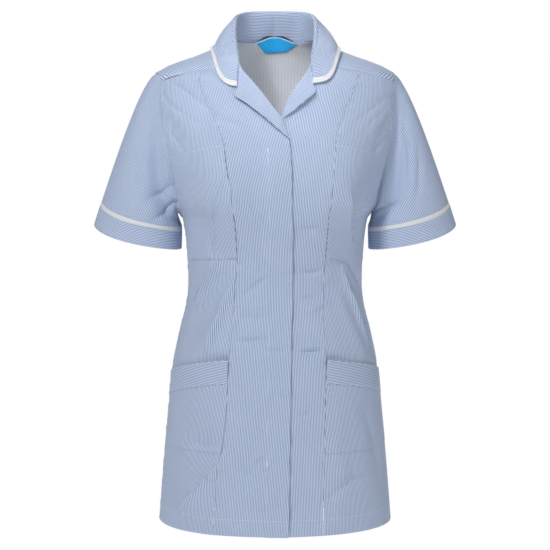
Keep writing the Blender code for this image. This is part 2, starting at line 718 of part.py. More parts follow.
def above_body(point, gap):
    """The point, moved up and out where it would be closer to the form than a gap."""
    for _ in range(3):
        height = min(point.z, SECTIONS[-1].height)
        half_width, front, back, _ = section(height)
        reach = math.hypot(point.x / half_width, point.y / (front if point.y < 0 else back))
        if point.z > SECTIONS[-1].height or reach > COLLAR_REACH:
            return point
        angle = math.degrees(math.atan2(point.x / half_width, -point.y / (front if point.y < 0 else back)))
        surface, outward = skin(angle, height)
        distance = (point - surface).dot(outward)
        if distance >= gap:
            return point
        point = point + outward * (gap - distance)
    return point


def collar_grid():
    """The collar's outer face, from the neck seam up the stand, over the fold and down the fall."""
    points = []
    for i in range(COLLAR_STEPS + 1):
        t = 2 * i / COLLAR_STEPS - 1
        neck, fold, edge = collar_station(t)
        outwards = Vector((edge.x - fold.x, edge.y - fold.y, 0)).normalized()
        stand = fold.z - neck.z
        radius = min(COLLAR_FOLD_RADIUS[1], max(COLLAR_FOLD_RADIUS[0], stand * COLLAR_FOLD_SHARE))
        top_of_stand = Vector((fold.x, fold.y, fold.z - radius))
        line = [neck.lerp(top_of_stand, k / COLLAR_STAND_STEPS) for k in range(COLLAR_STAND_STEPS + 1)]
        centre = top_of_stand + outwards * radius
        line += [centre - outwards * radius * math.cos(a) + Vector((0, 0, radius * math.sin(a)))
                 for a in (math.radians(60), math.radians(120))]
        start = centre + outwards * radius
        for k in range(COLLAR_FALL_STEPS + 1):
            share = k / COLLAR_FALL_STEPS
            point = start.lerp(edge, share)
            point += (outwards + Vector((0, 0, COLLAR_BOW_UP))) * COLLAR_BOW * math.sin(math.pi * share)
            line.append(above_body(point, WALL + COLLAR_CLEARANCE))
        tip = line[-1]
        inner = tip.lerp(line[-2], TRIM_WIDTH / max((line[-2] - tip).length, TRIM_WIDTH * LEAST_FALL))
        line.insert(-1, inner)
        points.append(line)
    columns = len(points)
    grid = []
    for j in range(len(points[0])):
        row = []
        for i in range(columns):
            along = points[min(i + 1, columns - 1)][j] - points[max(i - 1, 0)][j]
            down = points[i][min(j + 1, len(points[0]) - 1)] - points[i][max(j - 1, 0)]
            row.append(Cell(points[i][j], down.cross(along).normalized()))
        grid.append(row)
    return grid


def read_path(path, share):
    """A point at a share of a path, by the distance along it."""
    lengths = [0.0]
    for a, b in zip(path, path[1:]):
        lengths.append(lengths[-1] + math.dist(a, b))
    rows = [[(d / lengths[-1], p[axis]) for d, p in zip(lengths, path)] for axis in (0, 1)]
    return interpolate(rows[0], share), interpolate(rows[1], share)


def lapel_grid(side):
    """The turned-back facing, from the gorge seam to the break point."""
    shape = LAPEL[side]
    down, across = LAPEL_SEGMENTS
    grid = []
    for i in range(down + 1):
        v = i / down
        roll, edge = read_path(shape["roll"], v), read_path(shape["edge"], v)
        row = []
        for j in range(across + 1):
            u = j / across
            top = read_path(shape["top"], u)
            x = blend(roll[0], edge[0], u)
            z = blend(roll[1], edge[1], u)
            straight_x = blend(shape["top"][0][0], shape["top"][-1][0], u)
            straight_z = blend(shape["top"][0][1], shape["top"][-1][1], u)
            x += (top[0] - straight_x) * (1 - v)
            z += (top[1] - straight_z) * (1 - v)
            lift = fly_lift(x) if side < 0 else 0.0
            lift += WALL + LAYER_GAP + LAPEL_SPRING * u * (1 - v * v) + LAPEL_REST
            row.append(Cell(*skin(angle_across(x, z), z, lift)))
        grid.append(row)
    return grid


def patch(panel, bottom, top, outer_inset=POCKET_INSET, gap=LAYER_GAP):
    """Rows of a panel, moved out to lie on it."""
    rows = moved_out(panel[bottom : top + 1], gap + PATCH_WALL)
    rows = [pull_back(row, POCKET_INSET, True, False) for row in rows]
    return [pull_back(row, outer_inset, False, True) for row in rows]


def on_panel(grid, row, column):
    """A place on a panel's own facets, at fractions of its rows and columns."""
    i, j = min(int(row), len(grid) - 2), min(int(column), len(grid[0]) - 2)
    lower, upper = [line[j].point.lerp(line[j + 1].point, column - j) for line in grid[i : i + 2]]
    facing = [line[j].outward.lerp(line[j + 1].outward, column - j) for line in grid[i : i + 2]]
    return Cell(lower.lerp(upper, row - i), facing[0].lerp(facing[1], row - i).normalized())


def label_grid(back):
    """The label, on the inner side of the back below the middle of its neckline."""
    middle, top = (len(back[0]) - 1) // 2, len(back) - 1
    column_width = back[top][middle + 1].point.x - back[top][middle].point.x
    row_height = back[top][middle].point.z - back[top - 1][middle].point.z
    grid = []
    for v in (0.0, 0.5, 1.0):
        below = blend(LABEL["lower"], LABEL["upper"], v)
        half = blend(LABEL["bottom"], LABEL["top"], v)
        row = []
        for u in (-1.0, -0.5, 0.0, 0.5, 1.0):
            column = middle + (LABEL["centre"] + u * half) / column_width
            cell = on_panel(back, top - below / row_height, column)
            row.append(Cell(cell.point - cell.outward * (WALL + LABEL["gap"]), -cell.outward))
        grid.append(row)
    return grid


def build():
    names = {-1: "right", 1: "left"}
    side_grids = {side: side_panel(side) for side in (-1, 1)}
    back = back_panel()
    cloth("back", seam_gaps(back, sides=True, top=False), "stripe")
    for side, name in names.items():
        cloth(f"front_{name}", front_panel(side), "stripe")
        panel = seam_gaps(side_grids[side], sides=True, top=True)
        cloth(f"side_front_{name}", panel, "stripe")
        breast = patch(panel, BREAST_POCKET_BOTTOM, BREAST_POCKET_TOP, ARMHOLE_INSET, BREAST_POCKET_GAP)
        cloth(f"breast_pocket_{name}", breast, "stripe", PATCH_WALL)
        hip = patch(panel, HIP_POCKET_BOTTOM, HIP_POCKET_TOP)
        cloth(f"hip_pocket_{name}", hip, "stripe", PATCH_WALL)
        band = moved_out(hip[HIP_BAND_BOTTOM - HIP_POCKET_BOTTOM :], LAYER_GAP + PATCH_WALL)
        cloth(f"hip_pocket_band_{name}", band, "stripe", PATCH_WALL)
        loop = armhole_loop(side, side_grids[side], back)
        sleeve, angles = sleeve_grid(side, loop)
        half = SEAM_GAP / 2
        columns = [pull_back(column, half, False, True) for column in zip(*sleeve)]
        cloth(f"sleeve_{name}", [list(row) for row in zip(*columns)], "stripe", tube=True)
        trim = band_grid(side, SLEEVE_HEM, TRIM_HEM, angles, 1)
        cloth(f"sleeve_trim_{name}", trim, "white", tube=True)
        cuff = band_grid(side, TRIM_HEM, CUFF_HEM, angles, CUFF_ROWS)
        cloth(f"cuff_{name}", cuff, "stripe", tube=True)
        cloth(f"lapel_{name}", lapel_grid(side), "stripe")
    collar = collar_grid()
    half = SEAM_GAP / 2
    body = [pull_back(column, half, False, True) for column in zip(*collar[:-1])]
    trim = [pull_back(column, half, True, False) for column in zip(*collar[-2:])]
    cloth("collar", [list(row) for row in zip(*body)], "stripe")
    cloth("collar_trim", [list(row) for row in zip(*trim)], "white")
    cloth("neck_label", label_grid(back), "label", LABEL["thickness"])


for old in list(bpy.data.objects):
    bpy.data.objects.remove(old)
TUNIC = bpy.data.collections.new("work_tunic")
bpy.context.scene.collection.children.link(TUNIC)
build()
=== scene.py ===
# %% [markdown]
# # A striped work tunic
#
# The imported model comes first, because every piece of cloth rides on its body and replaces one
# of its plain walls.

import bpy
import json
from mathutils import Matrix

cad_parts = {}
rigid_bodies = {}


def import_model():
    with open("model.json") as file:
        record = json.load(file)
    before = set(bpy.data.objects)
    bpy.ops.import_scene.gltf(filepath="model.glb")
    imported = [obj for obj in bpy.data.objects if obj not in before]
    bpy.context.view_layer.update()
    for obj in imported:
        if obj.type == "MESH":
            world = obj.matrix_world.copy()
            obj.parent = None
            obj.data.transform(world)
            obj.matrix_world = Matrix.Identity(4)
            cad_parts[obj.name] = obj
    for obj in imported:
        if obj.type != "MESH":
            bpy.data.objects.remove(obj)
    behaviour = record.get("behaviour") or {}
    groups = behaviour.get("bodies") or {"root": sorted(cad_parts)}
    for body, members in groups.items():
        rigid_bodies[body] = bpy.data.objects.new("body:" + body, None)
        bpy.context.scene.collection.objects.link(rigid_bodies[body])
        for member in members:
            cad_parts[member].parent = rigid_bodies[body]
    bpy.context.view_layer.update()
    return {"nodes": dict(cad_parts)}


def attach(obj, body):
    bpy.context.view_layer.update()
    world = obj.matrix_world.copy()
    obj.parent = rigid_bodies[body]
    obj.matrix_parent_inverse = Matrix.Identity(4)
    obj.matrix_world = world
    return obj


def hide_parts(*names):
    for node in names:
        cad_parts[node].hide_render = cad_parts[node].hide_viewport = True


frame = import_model()
print(len(frame["nodes"]), "nodes in the frame")

# %% What the lesson is made with
import json
import math
from collections import namedtuple

import bmesh
import bpy
import numpy as np
from mathutils import Matrix, Vector

scene = bpy.context.scene

# %% [markdown]
# ## The form that the cloth lies on
#
# A worn tunic is a set of panels on one rounded body. Each panel could be modelled by hand, but
# then the seams between them would not meet. Here one form is described by its horizontal
# sections, and a place on it is an angle round the body and a height. A panel is then only a
# range of angles and heights, and two panels meet wherever they share a line.

# %% Smooth reading of a short table
def smooth(places, values):
    """Reads a table between its rows without overshoot, so that a few numbers make a curve."""
    places, values = np.asarray(places, float), np.asarray(values, float)
    wide = (slice(None),) + (None,) * (values.ndim - 1)
    steps = np.diff(places)
    slopes = np.diff(values, axis=0) / steps[wide]
    product = slopes[:-1] * slopes[1:]
    total = np.where(product > 0, slopes[:-1] + slopes[1:], 1.0)
    inner = np.where(product > 0, 2 * product / total, 0.0)
    leans = np.concatenate([slopes[:1], inner, slopes[-1:]])

    def read(where):
        where = np.clip(np.asarray(where, float), places[0], places[-1])
        k = np.clip(np.searchsorted(places, where) - 1, 0, len(steps) - 1)
        spread = (...,) + (None,) * (values.ndim - 1)
        step = steps[k][spread]
        t = ((where - places[k]) / steps[k])[spread]
        rise = (2 * t**3 - 3 * t**2 + 1) * values[k] + (3 * t**2 - 2 * t**3) * values[k + 1]
        return rise + ((t**3 - 2 * t**2 + t) * leans[k] + (t**3 - t**2) * leans[k + 1]) * step

    return read


def smooth_table(rows):
    """The same for a list of (place, value) rows."""
    return smooth([row[0] for row in rows], [row[1] for row in rows])


def smooth_step(low, high, value):
    t = np.clip((value - low) / (high - low), 0, 1)
    return t * t * (3 - 2 * t)


def blend(a, b, t):
    return a + (b - a) * t


def unit(vectors):
    return vectors / np.linalg.norm(vectors, axis=-1, keepdims=True)


def lengths_along(path):
    """Metres from the start of a line to each of its points."""
    return np.pad(np.linalg.norm(np.diff(path, axis=0), axis=1).cumsum(), (1, 0))


def distances_in(points, axis):
    """Metres from both ends along each line of a grid."""
    steps = np.linalg.norm(np.diff(points, axis=axis), axis=2).cumsum(axis)
    pad = ((1, 0), (0, 0)) if axis == 0 else ((0, 0), (1, 0))
    start = np.pad(steps, pad)
    return start, start.take([-1], axis) - start


print("halfway from 0 to 1 a smooth table reads", smooth([0, 1], [0.0, 1.0])(0.5))

# %% The body's sections, hem first
Section = namedtuple("Section", "height half_width front back fullness")
SECTIONS = [
    Section(-0.762, 0.1840, 0.1345, 0.1390, 0.030),
    Section(-0.660, 0.1760, 0.1335, 0.1390, 0.030),
    Section(-0.560, 0.1665, 0.1290, 0.1320, 0.030),
    Section(-0.520, 0.1630, 0.1260, 0.1260, 0.030),
    Section(-0.455, 0.1505, 0.1190, 0.1100, 0.025),
    Section(-0.410, 0.1395, 0.1120, 0.0980, 0.020),
    Section(-0.380, 0.1365, 0.1100, 0.0940, 0.020),
    Section(-0.345, 0.1375, 0.1130, 0.0960, 0.025),
    Section(-0.313, 0.1395, 0.1180, 0.1010, 0.035),
    Section(-0.280, 0.1445, 0.1230, 0.1060, 0.045),
    Section(-0.255, 0.1580, 0.1250, 0.1100, 0.050),
    Section(-0.220, 0.1700, 0.1245, 0.1130, 0.045),
    Section(-0.180, 0.1820, 0.1200, 0.1150, 0.035),
    Section(-0.140, 0.1890, 0.1110, 0.1130, 0.025),
    Section(-0.100, 0.1920, 0.0985, 0.1060, 0.010),
    Section(-0.075, 0.1930, 0.0905, 0.0990, 0.000),
    Section(-0.058, 0.1915, 0.0850, 0.0940, 0.000),
    Section(-0.044, 0.1730, 0.0790, 0.0890, 0.000),
    Section(-0.034, 0.1490, 0.0735, 0.0850, 0.000),
    Section(-0.027, 0.1280, 0.0685, 0.0820, 0.000),
    Section(-0.016, 0.1000, 0.0595, 0.0770, 0.000),
    Section(-0.008, 0.0810, 0.0500, 0.0730, 0.000),
    Section(0.000, 0.0620, 0.0390, 0.0710, 0.000),
    Section(0.007, 0.0530, 0.0310, 0.0690, 0.000),
    Section(0.013, 0.0460, 0.0240, 0.0665, 0.000),
]
FORM_TOP = SECTIONS[-1].height
section = smooth([s.height for s in SECTIONS], [s[1:] for s in SECTIONS])


def form_point(angle, height):
    """A point of the plain form: 0 degrees is in front, 90 at the wearer's left side."""
    angle, height = np.broadcast_arrays(np.asarray(angle, float), np.asarray(height, float))
    half_width, front, back, fullness = np.moveaxis(section(height), -1, 0)
    a = np.radians(angle)
    depth = np.where(np.cos(a) > 0, front, back)
    spread = 1 + fullness * np.sin(2 * a) ** 2
    return np.stack([half_width * np.sin(a) * spread, -depth * np.cos(a) * spread, height], -1)


def form_normal(angle, height, turn=0.5, climb=0.0015):
    round_body = form_point(angle + turn, height) - form_point(angle - turn, height)
    upwards = form_point(angle, height + climb) - form_point(angle, height - climb)
    return unit(np.cross(round_body, upwards))


WAIST = -0.380
girth = lengths_along(form_point(np.linspace(0, 360, 361), WAIST))[-1]
print(f"girth at the waist: {girth:.3f} m")

# %% [markdown]
# ## Folds
#
# Real folds come from cloth that is too wide in one place and held in another. A cloth
# simulation makes them at random, and these have to lie where the photographed ones do, so each
# is drawn as a path on the form whose rise fades at both ends. The large, soft ones are those of
# the plain model, and fade to both sides as a bell curve does. The creases are narrower: in
# crisp cotton they have a tight crest and nearly straight flanks.

# %% Folds as paths on the form
Fold = namedtuple("Fold", "path half_width rise")
ARC_PER_DEGREE = 0.0026
FOLDS = [
    Fold([(-30, -0.235), (-41, -0.314), (-58, -0.370), (-76, -0.390)], 0.018, 0.0045),
    Fold([(-42, -0.223), (-56, -0.272), (-66, -0.305)], 0.014, 0.0030),
    Fold([(-28, -0.392), (-38, -0.440), (-50, -0.500)], 0.015, 0.0040),
    Fold([(-36, -0.345), (-51, -0.390), (-65, -0.440)], 0.015, 0.0035),
    Fold([(-24, -0.627), (-37, -0.679), (-58, -0.730)], 0.018, 0.0045),
    Fold([(39, -0.240), (46, -0.290), (57, -0.341), (78, -0.386)], 0.018, 0.0045),
    Fold([(43, -0.380), (50, -0.442), (60, -0.495)], 0.015, 0.0040),
    Fold([(30, -0.600), (34, -0.680), (30, -0.745)], 0.018, 0.0035),
    Fold([(-57, -0.068), (-39, -0.106), (-29, -0.136)], 0.014, -0.0025),
    Fold([(-64, -0.111), (-52, -0.146), (-45, -0.174)], 0.012, -0.0030),
    Fold([(70, -0.118), (58, -0.150), (51, -0.174)], 0.012, -0.0030),
    Fold([(132, -0.300), (120, -0.360), (104, -0.395)], 0.018, 0.0040),
    Fold([(228, -0.300), (242, -0.355), (256, -0.390)], 0.018, 0.0040),
    Fold([(150, -0.400), (138, -0.460), (122, -0.520)], 0.018, 0.0035),
    Fold([(208, -0.400), (220, -0.465), (238, -0.525)], 0.018, 0.0035),
    Fold([(150, -0.560), (152, -0.660), (146, -0.750)], 0.024, 0.0040),
    Fold([(205, -0.570), (208, -0.670), (214, -0.750)], 0.024, 0.0040),
]

# %% Creases
CREASES = [
    Fold([(-27.5, -0.229), (-32.9, -0.258), (-39.8, -0.296), (-41.9, -0.336)], 0.0080, -0.0030),
    Fold([(-33.3, -0.335), (-47.5, -0.373), (-59, -0.414)], 0.0091, 0.0035),
    Fold([(-23.8, -0.347), (-30.2, -0.390), (-36.7, -0.442), (-41.5, -0.485)], 0.0106, 0.0045),
    Fold([(-22.4, -0.344), (-28.2, -0.372), (-32.3, -0.396)], 0.0040, -0.0014),
    Fold([(-19.6, -0.244), (-13.9, -0.262), (-9, -0.283), (-4.3, -0.304)], 0.0060, -0.0015),
    Fold([(-21.8, -0.622), (-33, -0.669), (-48.6, -0.718), (-58.8, -0.735)], 0.0060, 0.0024),
    Fold([(-31.8, -0.672), (-40.9, -0.692), (-52.2, -0.708)], 0.0060, -0.0010),
    Fold([(-52.3, -0.616), (-36.9, -0.624), (-25.1, -0.616)], 0.0136, -0.0018),
    Fold([(-61.2, -0.062), (-44.9, -0.085), (-33.9, -0.107), (-22.7, -0.132), (-6, -0.145)],
         0.0066, -0.0010),
    Fold([(-67.3, -0.090), (-50, -0.113), (-38.3, -0.132), (-28.7, -0.144)], 0.0058, -0.0007),
    Fold([(-89, -0.069), (-60.4, -0.093), (-51.5, -0.116)], 0.0050, -0.0006),
    Fold([(-58.7, -0.143), (-51.6, -0.162), (-45.3, -0.180)], 0.0050, -0.0012),
    Fold([(72.9, -0.145), (59.1, -0.164), (51.3, -0.182)], 0.0050, -0.0012),
    Fold([(85.8, -0.076), (60.4, -0.096), (43.1, -0.122), (33, -0.153)], 0.0066, -0.0007),
    Fold([(67.3, -0.102), (49.9, -0.131), (40.9, -0.153)], 0.0058, -0.0006),
    Fold([(35.6, -0.223), (43.5, -0.273), (53.5, -0.321)], 0.0091, 0.0025),
    Fold([(36.4, -0.338), (50.7, -0.345), (69.5, -0.375), (89, -0.411)], 0.0060, -0.0022),
    Fold([(45.1, -0.351), (55.5, -0.398), (60.8, -0.439), (68.2, -0.477)], 0.0091, 0.0038),
    Fold([(22.9, -0.716), (29.3, -0.696), (40, -0.677), (62.1, -0.671)], 0.0091, -0.0016),
    Fold([(49.6, -0.557), (60.3, -0.621), (65.8, -0.701)], 0.0136, -0.0015),
    Fold([(-3.2, -0.365), (-12.1, -0.379), (-21.8, -0.399)], 0.0053, -0.0016),
    Fold([(-24.8, -0.413), (-8.1, -0.411), (3.1, -0.408)], 0.0053, 0.0009),
    Fold([(-24, -0.429), (-10.3, -0.429), (0.6, -0.424)], 0.0045, -0.0009),
    Fold([(-24.9, -0.464), (-14.3, -0.463), (-1.7, -0.459)], 0.0045, -0.0017),
    Fold([(-7.2, -0.480), (1.7, -0.477), (8.9, -0.483)], 0.0038, -0.0011),
    Fold([(-4.4, -0.344), (-8.2, -0.353), (-12.1, -0.365)], 0.0038, -0.0008),
    Fold([(-13.4, -0.516), (-4.8, -0.522), (4.8, -0.513)], 0.0060, -0.0009),
    Fold([(-19.7, -0.531), (-16.2, -0.558), (-12.9, -0.582)], 0.0076, -0.0009),
    Fold([(-3.5, -0.636), (-9.4, -0.648), (-11.3, -0.664)], 0.0038, -0.0015),
    Fold([(0.5, -0.654), (-3.4, -0.657), (-8.4, -0.663)], 0.0038, -0.0008),
    Fold([(-19.4, -0.658), (-12.3, -0.667), (-6.3, -0.678)], 0.0106, -0.0012),
    Fold([(-16.9, -0.719), (-6.2, -0.721), (4.3, -0.715)], 0.0076, -0.0008),
    Fold([(-3.7, -0.540), (2.6, -0.549), (7.9, -0.546)], 0.0045, -0.0008),
    Fold([(15.3, -0.359), (22.6, -0.361), (31.6, -0.358)], 0.0045, -0.0016),
    Fold([(15.2, -0.402), (22.4, -0.399), (30.8, -0.398)], 0.0038, -0.0010),
    Fold([(16.8, -0.418), (22.6, -0.417), (28.7, -0.416)], 0.0045, 0.0010),
    Fold([(13.4, -0.481), (20.2, -0.480), (28, -0.478)], 0.0038, -0.0022),
    Fold([(11.9, -0.576), (15, -0.576), (19.3, -0.572)], 0.0038, -0.0010),
    Fold([(15.2, -0.292), (21.5, -0.295), (27.6, -0.291)], 0.0076, -0.0012),
    Fold([(13.3, -0.244), (19.9, -0.250), (25.2, -0.247)], 0.0076, -0.0007),
]

# %% How far a fold rises
FOLD_END_POWER = 0.7
CREST = 0.25
CREASE_FALL = 1.4
CREASE_SCALE = 2.4


def bell(gap):
    """A soft fold, for a gap counted in half widths."""
    return np.exp(-gap * gap)


def crisp(gap):
    """A crease with a tight crest and straight flanks."""
    return CREASE_SCALE * np.exp(-CREASE_FALL * (np.hypot(gap, CREST) - CREST))


def fold_rise(folds, angle, height, profile=bell, arc=ARC_PER_DEGREE):
    """Sum of the folds at each place."""
    total = np.zeros(np.broadcast(angle, height).shape)
    for fold in folds:
        nearest, along = np.full(total.shape, np.inf), np.zeros(total.shape)
        run = 0.0
        for (a0, z0), (a1, z1) in zip(fold.path, fold.path[1:]):
            ax, az = (a1 - a0) * arc, z1 - z0
            px, pz = (angle - a0) * arc, height - z0
            length = math.hypot(ax, az)
            t = np.clip((px * ax + pz * az) / length**2, 0, 1)
            gap = np.hypot(px - ax * t, pz - az * t)
            along = np.where(gap < nearest, run + t * length, along)
            nearest = np.minimum(gap, nearest)
            run += length
        ends = np.sin(np.pi * np.clip(along / run, 0, 1)) ** FOLD_END_POWER
        total += fold.rise * ends * profile(nearest / fold.half_width)
    return total


print(len(FOLDS), "folds and", len(CREASES), "creases, the first one's crest is",
      fold_rise(CREASES[:1], *CREASES[0].path[1], crisp), "m")

# %% The skin: the form with its bust and folds
BUST_ANGLES = (-27.0, 34.0)
BUST_HEIGHT = -0.232
BUST_SPREAD = (15.0, 0.072)
BUST_RISE = 0.015


def skin(angle, height, lift=0.0):
    """Outer points of the cloth and the way they face."""
    wrapped = np.mod(angle, 360)
    signed = np.where(wrapped > 180, wrapped - 360, wrapped)
    rise = fold_rise(FOLDS, signed, height) + fold_rise(CREASES, signed, height, crisp)
    rise = rise + np.where(signed < 0, fold_rise(FOLDS, wrapped, height), 0.0)
    for centre in BUST_ANGLES:
        across, up = (signed - centre) / BUST_SPREAD[0], (height - BUST_HEIGHT) / BUST_SPREAD[1]
        rise = rise + BUST_RISE * np.exp(-across * across - up * up)
    outward = form_normal(angle, height)
    return form_point(angle, height) + outward * (rise + lift)[..., None], outward


print("chest depth over the bust: %.3f m" % -skin(BUST_ANGLES[0], BUST_HEIGHT)[0][1])

# %% Finding a place on the form
HALVINGS = 40
FORM_LOW = -0.200


def halved(low, high, below):
    """Narrows a range down to the place where a test turns from true to false."""
    for _ in range(HALVINGS):
        middle = (low + high) / 2
        kept = below(middle)
        low, high = np.where(kept, middle, low), np.where(kept, high, middle)
    return low


def angle_across(across, height):
    """The angle at which the front of the form is a given distance across from its middle."""
    across, height = np.broadcast_arrays(np.asarray(across, float), np.asarray(height, float))
    return halved(np.full(across.shape, -89.0), np.full(across.shape, 89.0),
                  lambda angle: form_point(angle, height)[..., 0] < across)


def from_above(across, depth, height):
    """Shares of the form's half width and depth at a height. On its outline they are 1 long."""
    half_width, front, back, _ = np.moveaxis(section(height), -1, 0)
    return across / half_width, -depth / np.where(depth < 0, front, back)


def place_above(across, depth, lowest=FORM_LOW):
    """Angle and height of the form's top surface over a point seen from above."""
    across, depth = np.broadcast_arrays(np.asarray(across, float), np.asarray(depth, float))

    def inside(height):
        side, fore = from_above(across, depth, height)
        return side**2 + fore**2 < 1

    height = halved(np.full(across.shape, lowest), np.full(across.shape, FORM_TOP), inside)
    return np.degrees(np.arctan2(*from_above(across, depth, height))), height


print("25 mm to the side at the waist is at %.1f degrees" % angle_across(0.025, WAIST))

# %% [markdown]
# ## Seam lines
#
# A princess seam runs from the shoulder over the bust to the hem, and gives the tunic its
# shape. The front is measured in rows from hem to shoulder, so that pockets and bands can say
# which rows they cover.

# %% Rows and seams
Row = namedtuple("Row", "front princess side")
ROWS = [
    Row(-0.7603, -0.7590, -0.7512),
    Row(-0.726, -0.725, -0.718),
    Row(-0.694, -0.693, -0.687),
    Row(-0.664, -0.664, -0.657),
    Row(-0.635, -0.635, -0.628),
    Row(-0.599, -0.599, -0.604),
    Row(-0.563, -0.564, -0.580),
    Row(-0.528, -0.529, -0.5565),
    Row(-0.494, -0.493, -0.5175),
    Row(-0.462, -0.460, -0.480),
    Row(-0.430, -0.428, -0.444),
    Row(-0.400, -0.398, -0.411),
    Row(-0.370, -0.368, -0.378),
    Row(-0.340, -0.339, -0.345),
    Row(-0.310, -0.309, -0.313),
    Row(-0.280, -0.279, -0.280),
    Row(-0.250, -0.250, -0.256),
    Row(-0.222, -0.222, -0.232),
    Row(-0.196, -0.195, -0.209),
    Row(-0.176, -0.168, -0.186),
    Row(-0.1585, -0.146, -0.160),
    Row(-0.126, -0.122, -0.132),
    Row(-0.095, -0.098, -0.106),
    Row(-0.068, -0.075, -0.084),
    Row(-0.039, -0.0525, -0.067),
]
HIP_POCKET_ROWS = (4, 8)
HIP_BAND_ROWS = (7, 8)
BREAST_POCKET_ROWS = (13, 19)
UNDERARM = 15
SHOULDER = len(ROWS) - 1
row_heights = smooth(range(len(ROWS)), ROWS)
print(SHOULDER, "rows, the armhole starts at row", UNDERARM)

# %% Seams and edges: the angle of each princess seam, and how far across each front's edge is
PRINCESS = {
    -1: smooth_table([
        (-0.756, -30.2), (-0.690, -29.5), (-0.636, -27.3), (-0.564, -25.4), (-0.490, -25.4),
        (-0.467, -25.7), (-0.403, -25.9), (-0.345, -24.2), (-0.275, -23.2), (-0.235, -22.0),
        (-0.212, -22.7), (-0.164, -23.8), (-0.142, -26.1), (-0.097, -33.3), (-0.0525, -38.9)]),
    1: smooth_table([
        (-0.756, 23.3), (-0.730, 23.5), (-0.622, 25.3), (-0.542, 27.1), (-0.492, 28.6),
        (-0.438, 29.9), (-0.392, 32.2), (-0.345, 32.7), (-0.308, 32.2), (-0.259, 29.6),
        (-0.218, 28.2), (-0.155, 28.6), (-0.136, 30.5), (-0.097, 36.1), (-0.0525, 43.4)]),
}
UNDERLAP_EDGE = -0.004
FRONT_EDGE = {
    -1: smooth_table([
        (-0.757, 0.0208), (-0.655, 0.0217), (-0.550, 0.0233), (-0.446, 0.0249),
        (-0.371, 0.0263), (-0.310, 0.0262), (-0.250, 0.0255), (-0.190, 0.0241),
        (-0.1585, 0.0211), (-0.143, 0.0159), (-0.126, 0.0091), (-0.112, -0.0015),
        (-0.094, -0.0149), (-0.072, -0.0326), (-0.052, -0.0491), (-0.039, -0.0545)]),
    1: smooth_table([
        (-0.757, UNDERLAP_EDGE), (-0.176, UNDERLAP_EDGE), (-0.1585, -0.0040),
        (-0.143, 0.0015), (-0.126, 0.0091), (-0.114, 0.0135), (-0.095, 0.0217),
        (-0.073, 0.0354), (-0.054, 0.0491), (-0.039, 0.0545)]),
}

# %% Armholes, in degrees from the front. All seams sit a little round towards the left
TURN = 4.0
Armhole = namedtuple("Armhole", "height front back")
ARMHOLE = [
    Armhole(-0.280, 90.0, 90.0),
    Armhole(-0.274, 82.0, 98.0),
    Armhole(-0.256, 71.0, 107.0),
    Armhole(-0.232, 68.0, 111.5),
    Armhole(-0.209, 66.5, 114.5),
    Armhole(-0.186, 66.0, 116.0),
    Armhole(-0.160, 67.0, 116.0),
    Armhole(-0.132, 68.0, 115.0),
    Armhole(-0.106, 69.0, 112.0),
    Armhole(-0.084, 69.5, 108.0),
    Armhole(-0.067, 70.0, 104.0),
]
armhole = smooth([a.height for a in ARMHOLE], [a[1:] for a in ARMHOLE])
PRINCESS_SHARE = 0.5
UP_TO_ARMHOLE = ROWS[UNDERARM].side


def shoulder_seam(side, share):
    """Angle and height along the shoulder seam, from the armhole (0) to the neck (1)."""
    top = ROWS[SHOULDER]
    outer_angle = side * armhole(top.side)[..., 0] + TURN
    neck_angle = angle_across(FRONT_EDGE[side](top.front), top.front)
    ends = [(outer_angle, top.side), (PRINCESS[side](top.princess), top.princess),
            (neck_angle, top.front)]
    place = smooth([0.0, PRINCESS_SHARE, 1.0], ends)(share)
    return place[..., 0], place[..., 1]


print("the shoulder seam's outer ends, in degrees:",
      [round(float(shoulder_seam(side, 0.0)[0]), 1) for side in (-1, 1)])

# %% [markdown]
# ## A front panel and a side panel
#
# The centre front runs from its free edge to the princess seam, and the side front from there
# round to the side seam and armhole. Near the shoulder both are bent to end on the one
# shoulder seam.

# %% Panels on the form
FLY_LIFT = 0.0026
GAPES = [(-0.352, 0.008), (-0.420, 0.014), (-0.468, 0.007), (-0.535, 0.009), (-0.610, 0.010),
         (-0.652, 0.008), (-0.720, 0.016), (-0.300, 0.014), (-0.215, 0.018)]
GAPE_LIFT = 0.0022
GAPE_REACH = 0.016
FLY_START = -0.022
FLY_FULL = -0.006
SHOULDER_BEND_ROWS = 2.0
SIDE_DIP = 1.2


def to_shoulder(rows, place, place_at_top, seam):
    """Bends the last rows so that the top one is the shoulder seam."""
    weight = (np.clip(rows - SHOULDER + SHOULDER_BEND_ROWS, 0, None) / SHOULDER_BEND_ROWS) ** 2
    return [p + weight * (s - top) for p, top, s in zip(place, place_at_top, seam)]


def front_place(side, row, t):
    front, princess, _ = np.moveaxis(row_heights(row), -1, 0)
    edge = angle_across(FRONT_EDGE[side](front), front)
    return blend(edge, PRINCESS[side](princess), t), blend(front, princess, t)


def closure_lift(side, across, height):
    """How far the upper front stands off: over the closure behind it, and where its edge gapes."""
    if side > 0:
        return 0.0 * across
    gape = sum(np.exp(-(((height - z) / reach) ** 2)) for z, reach in GAPES)
    edge = FRONT_EDGE[side](height)
    near_edge = np.exp(-np.clip(edge - across, 0, None) / GAPE_REACH)
    return FLY_LIFT * smooth_step(FLY_START, FLY_FULL, across) + GAPE_LIFT * gape * near_edge


def front_panel(side, rows, columns):
    row, t = np.meshgrid(rows, columns, indexing="ij")
    at_top = front_place(side, np.full_like(row, SHOULDER), t)
    seam = shoulder_seam(side, blend(1.0, PRINCESS_SHARE, t))
    angle, height = to_shoulder(row, front_place(side, row, t), at_top, seam)
    across = form_point(angle, height)[..., 0]
    return skin(angle, height, closure_lift(side, across, height))


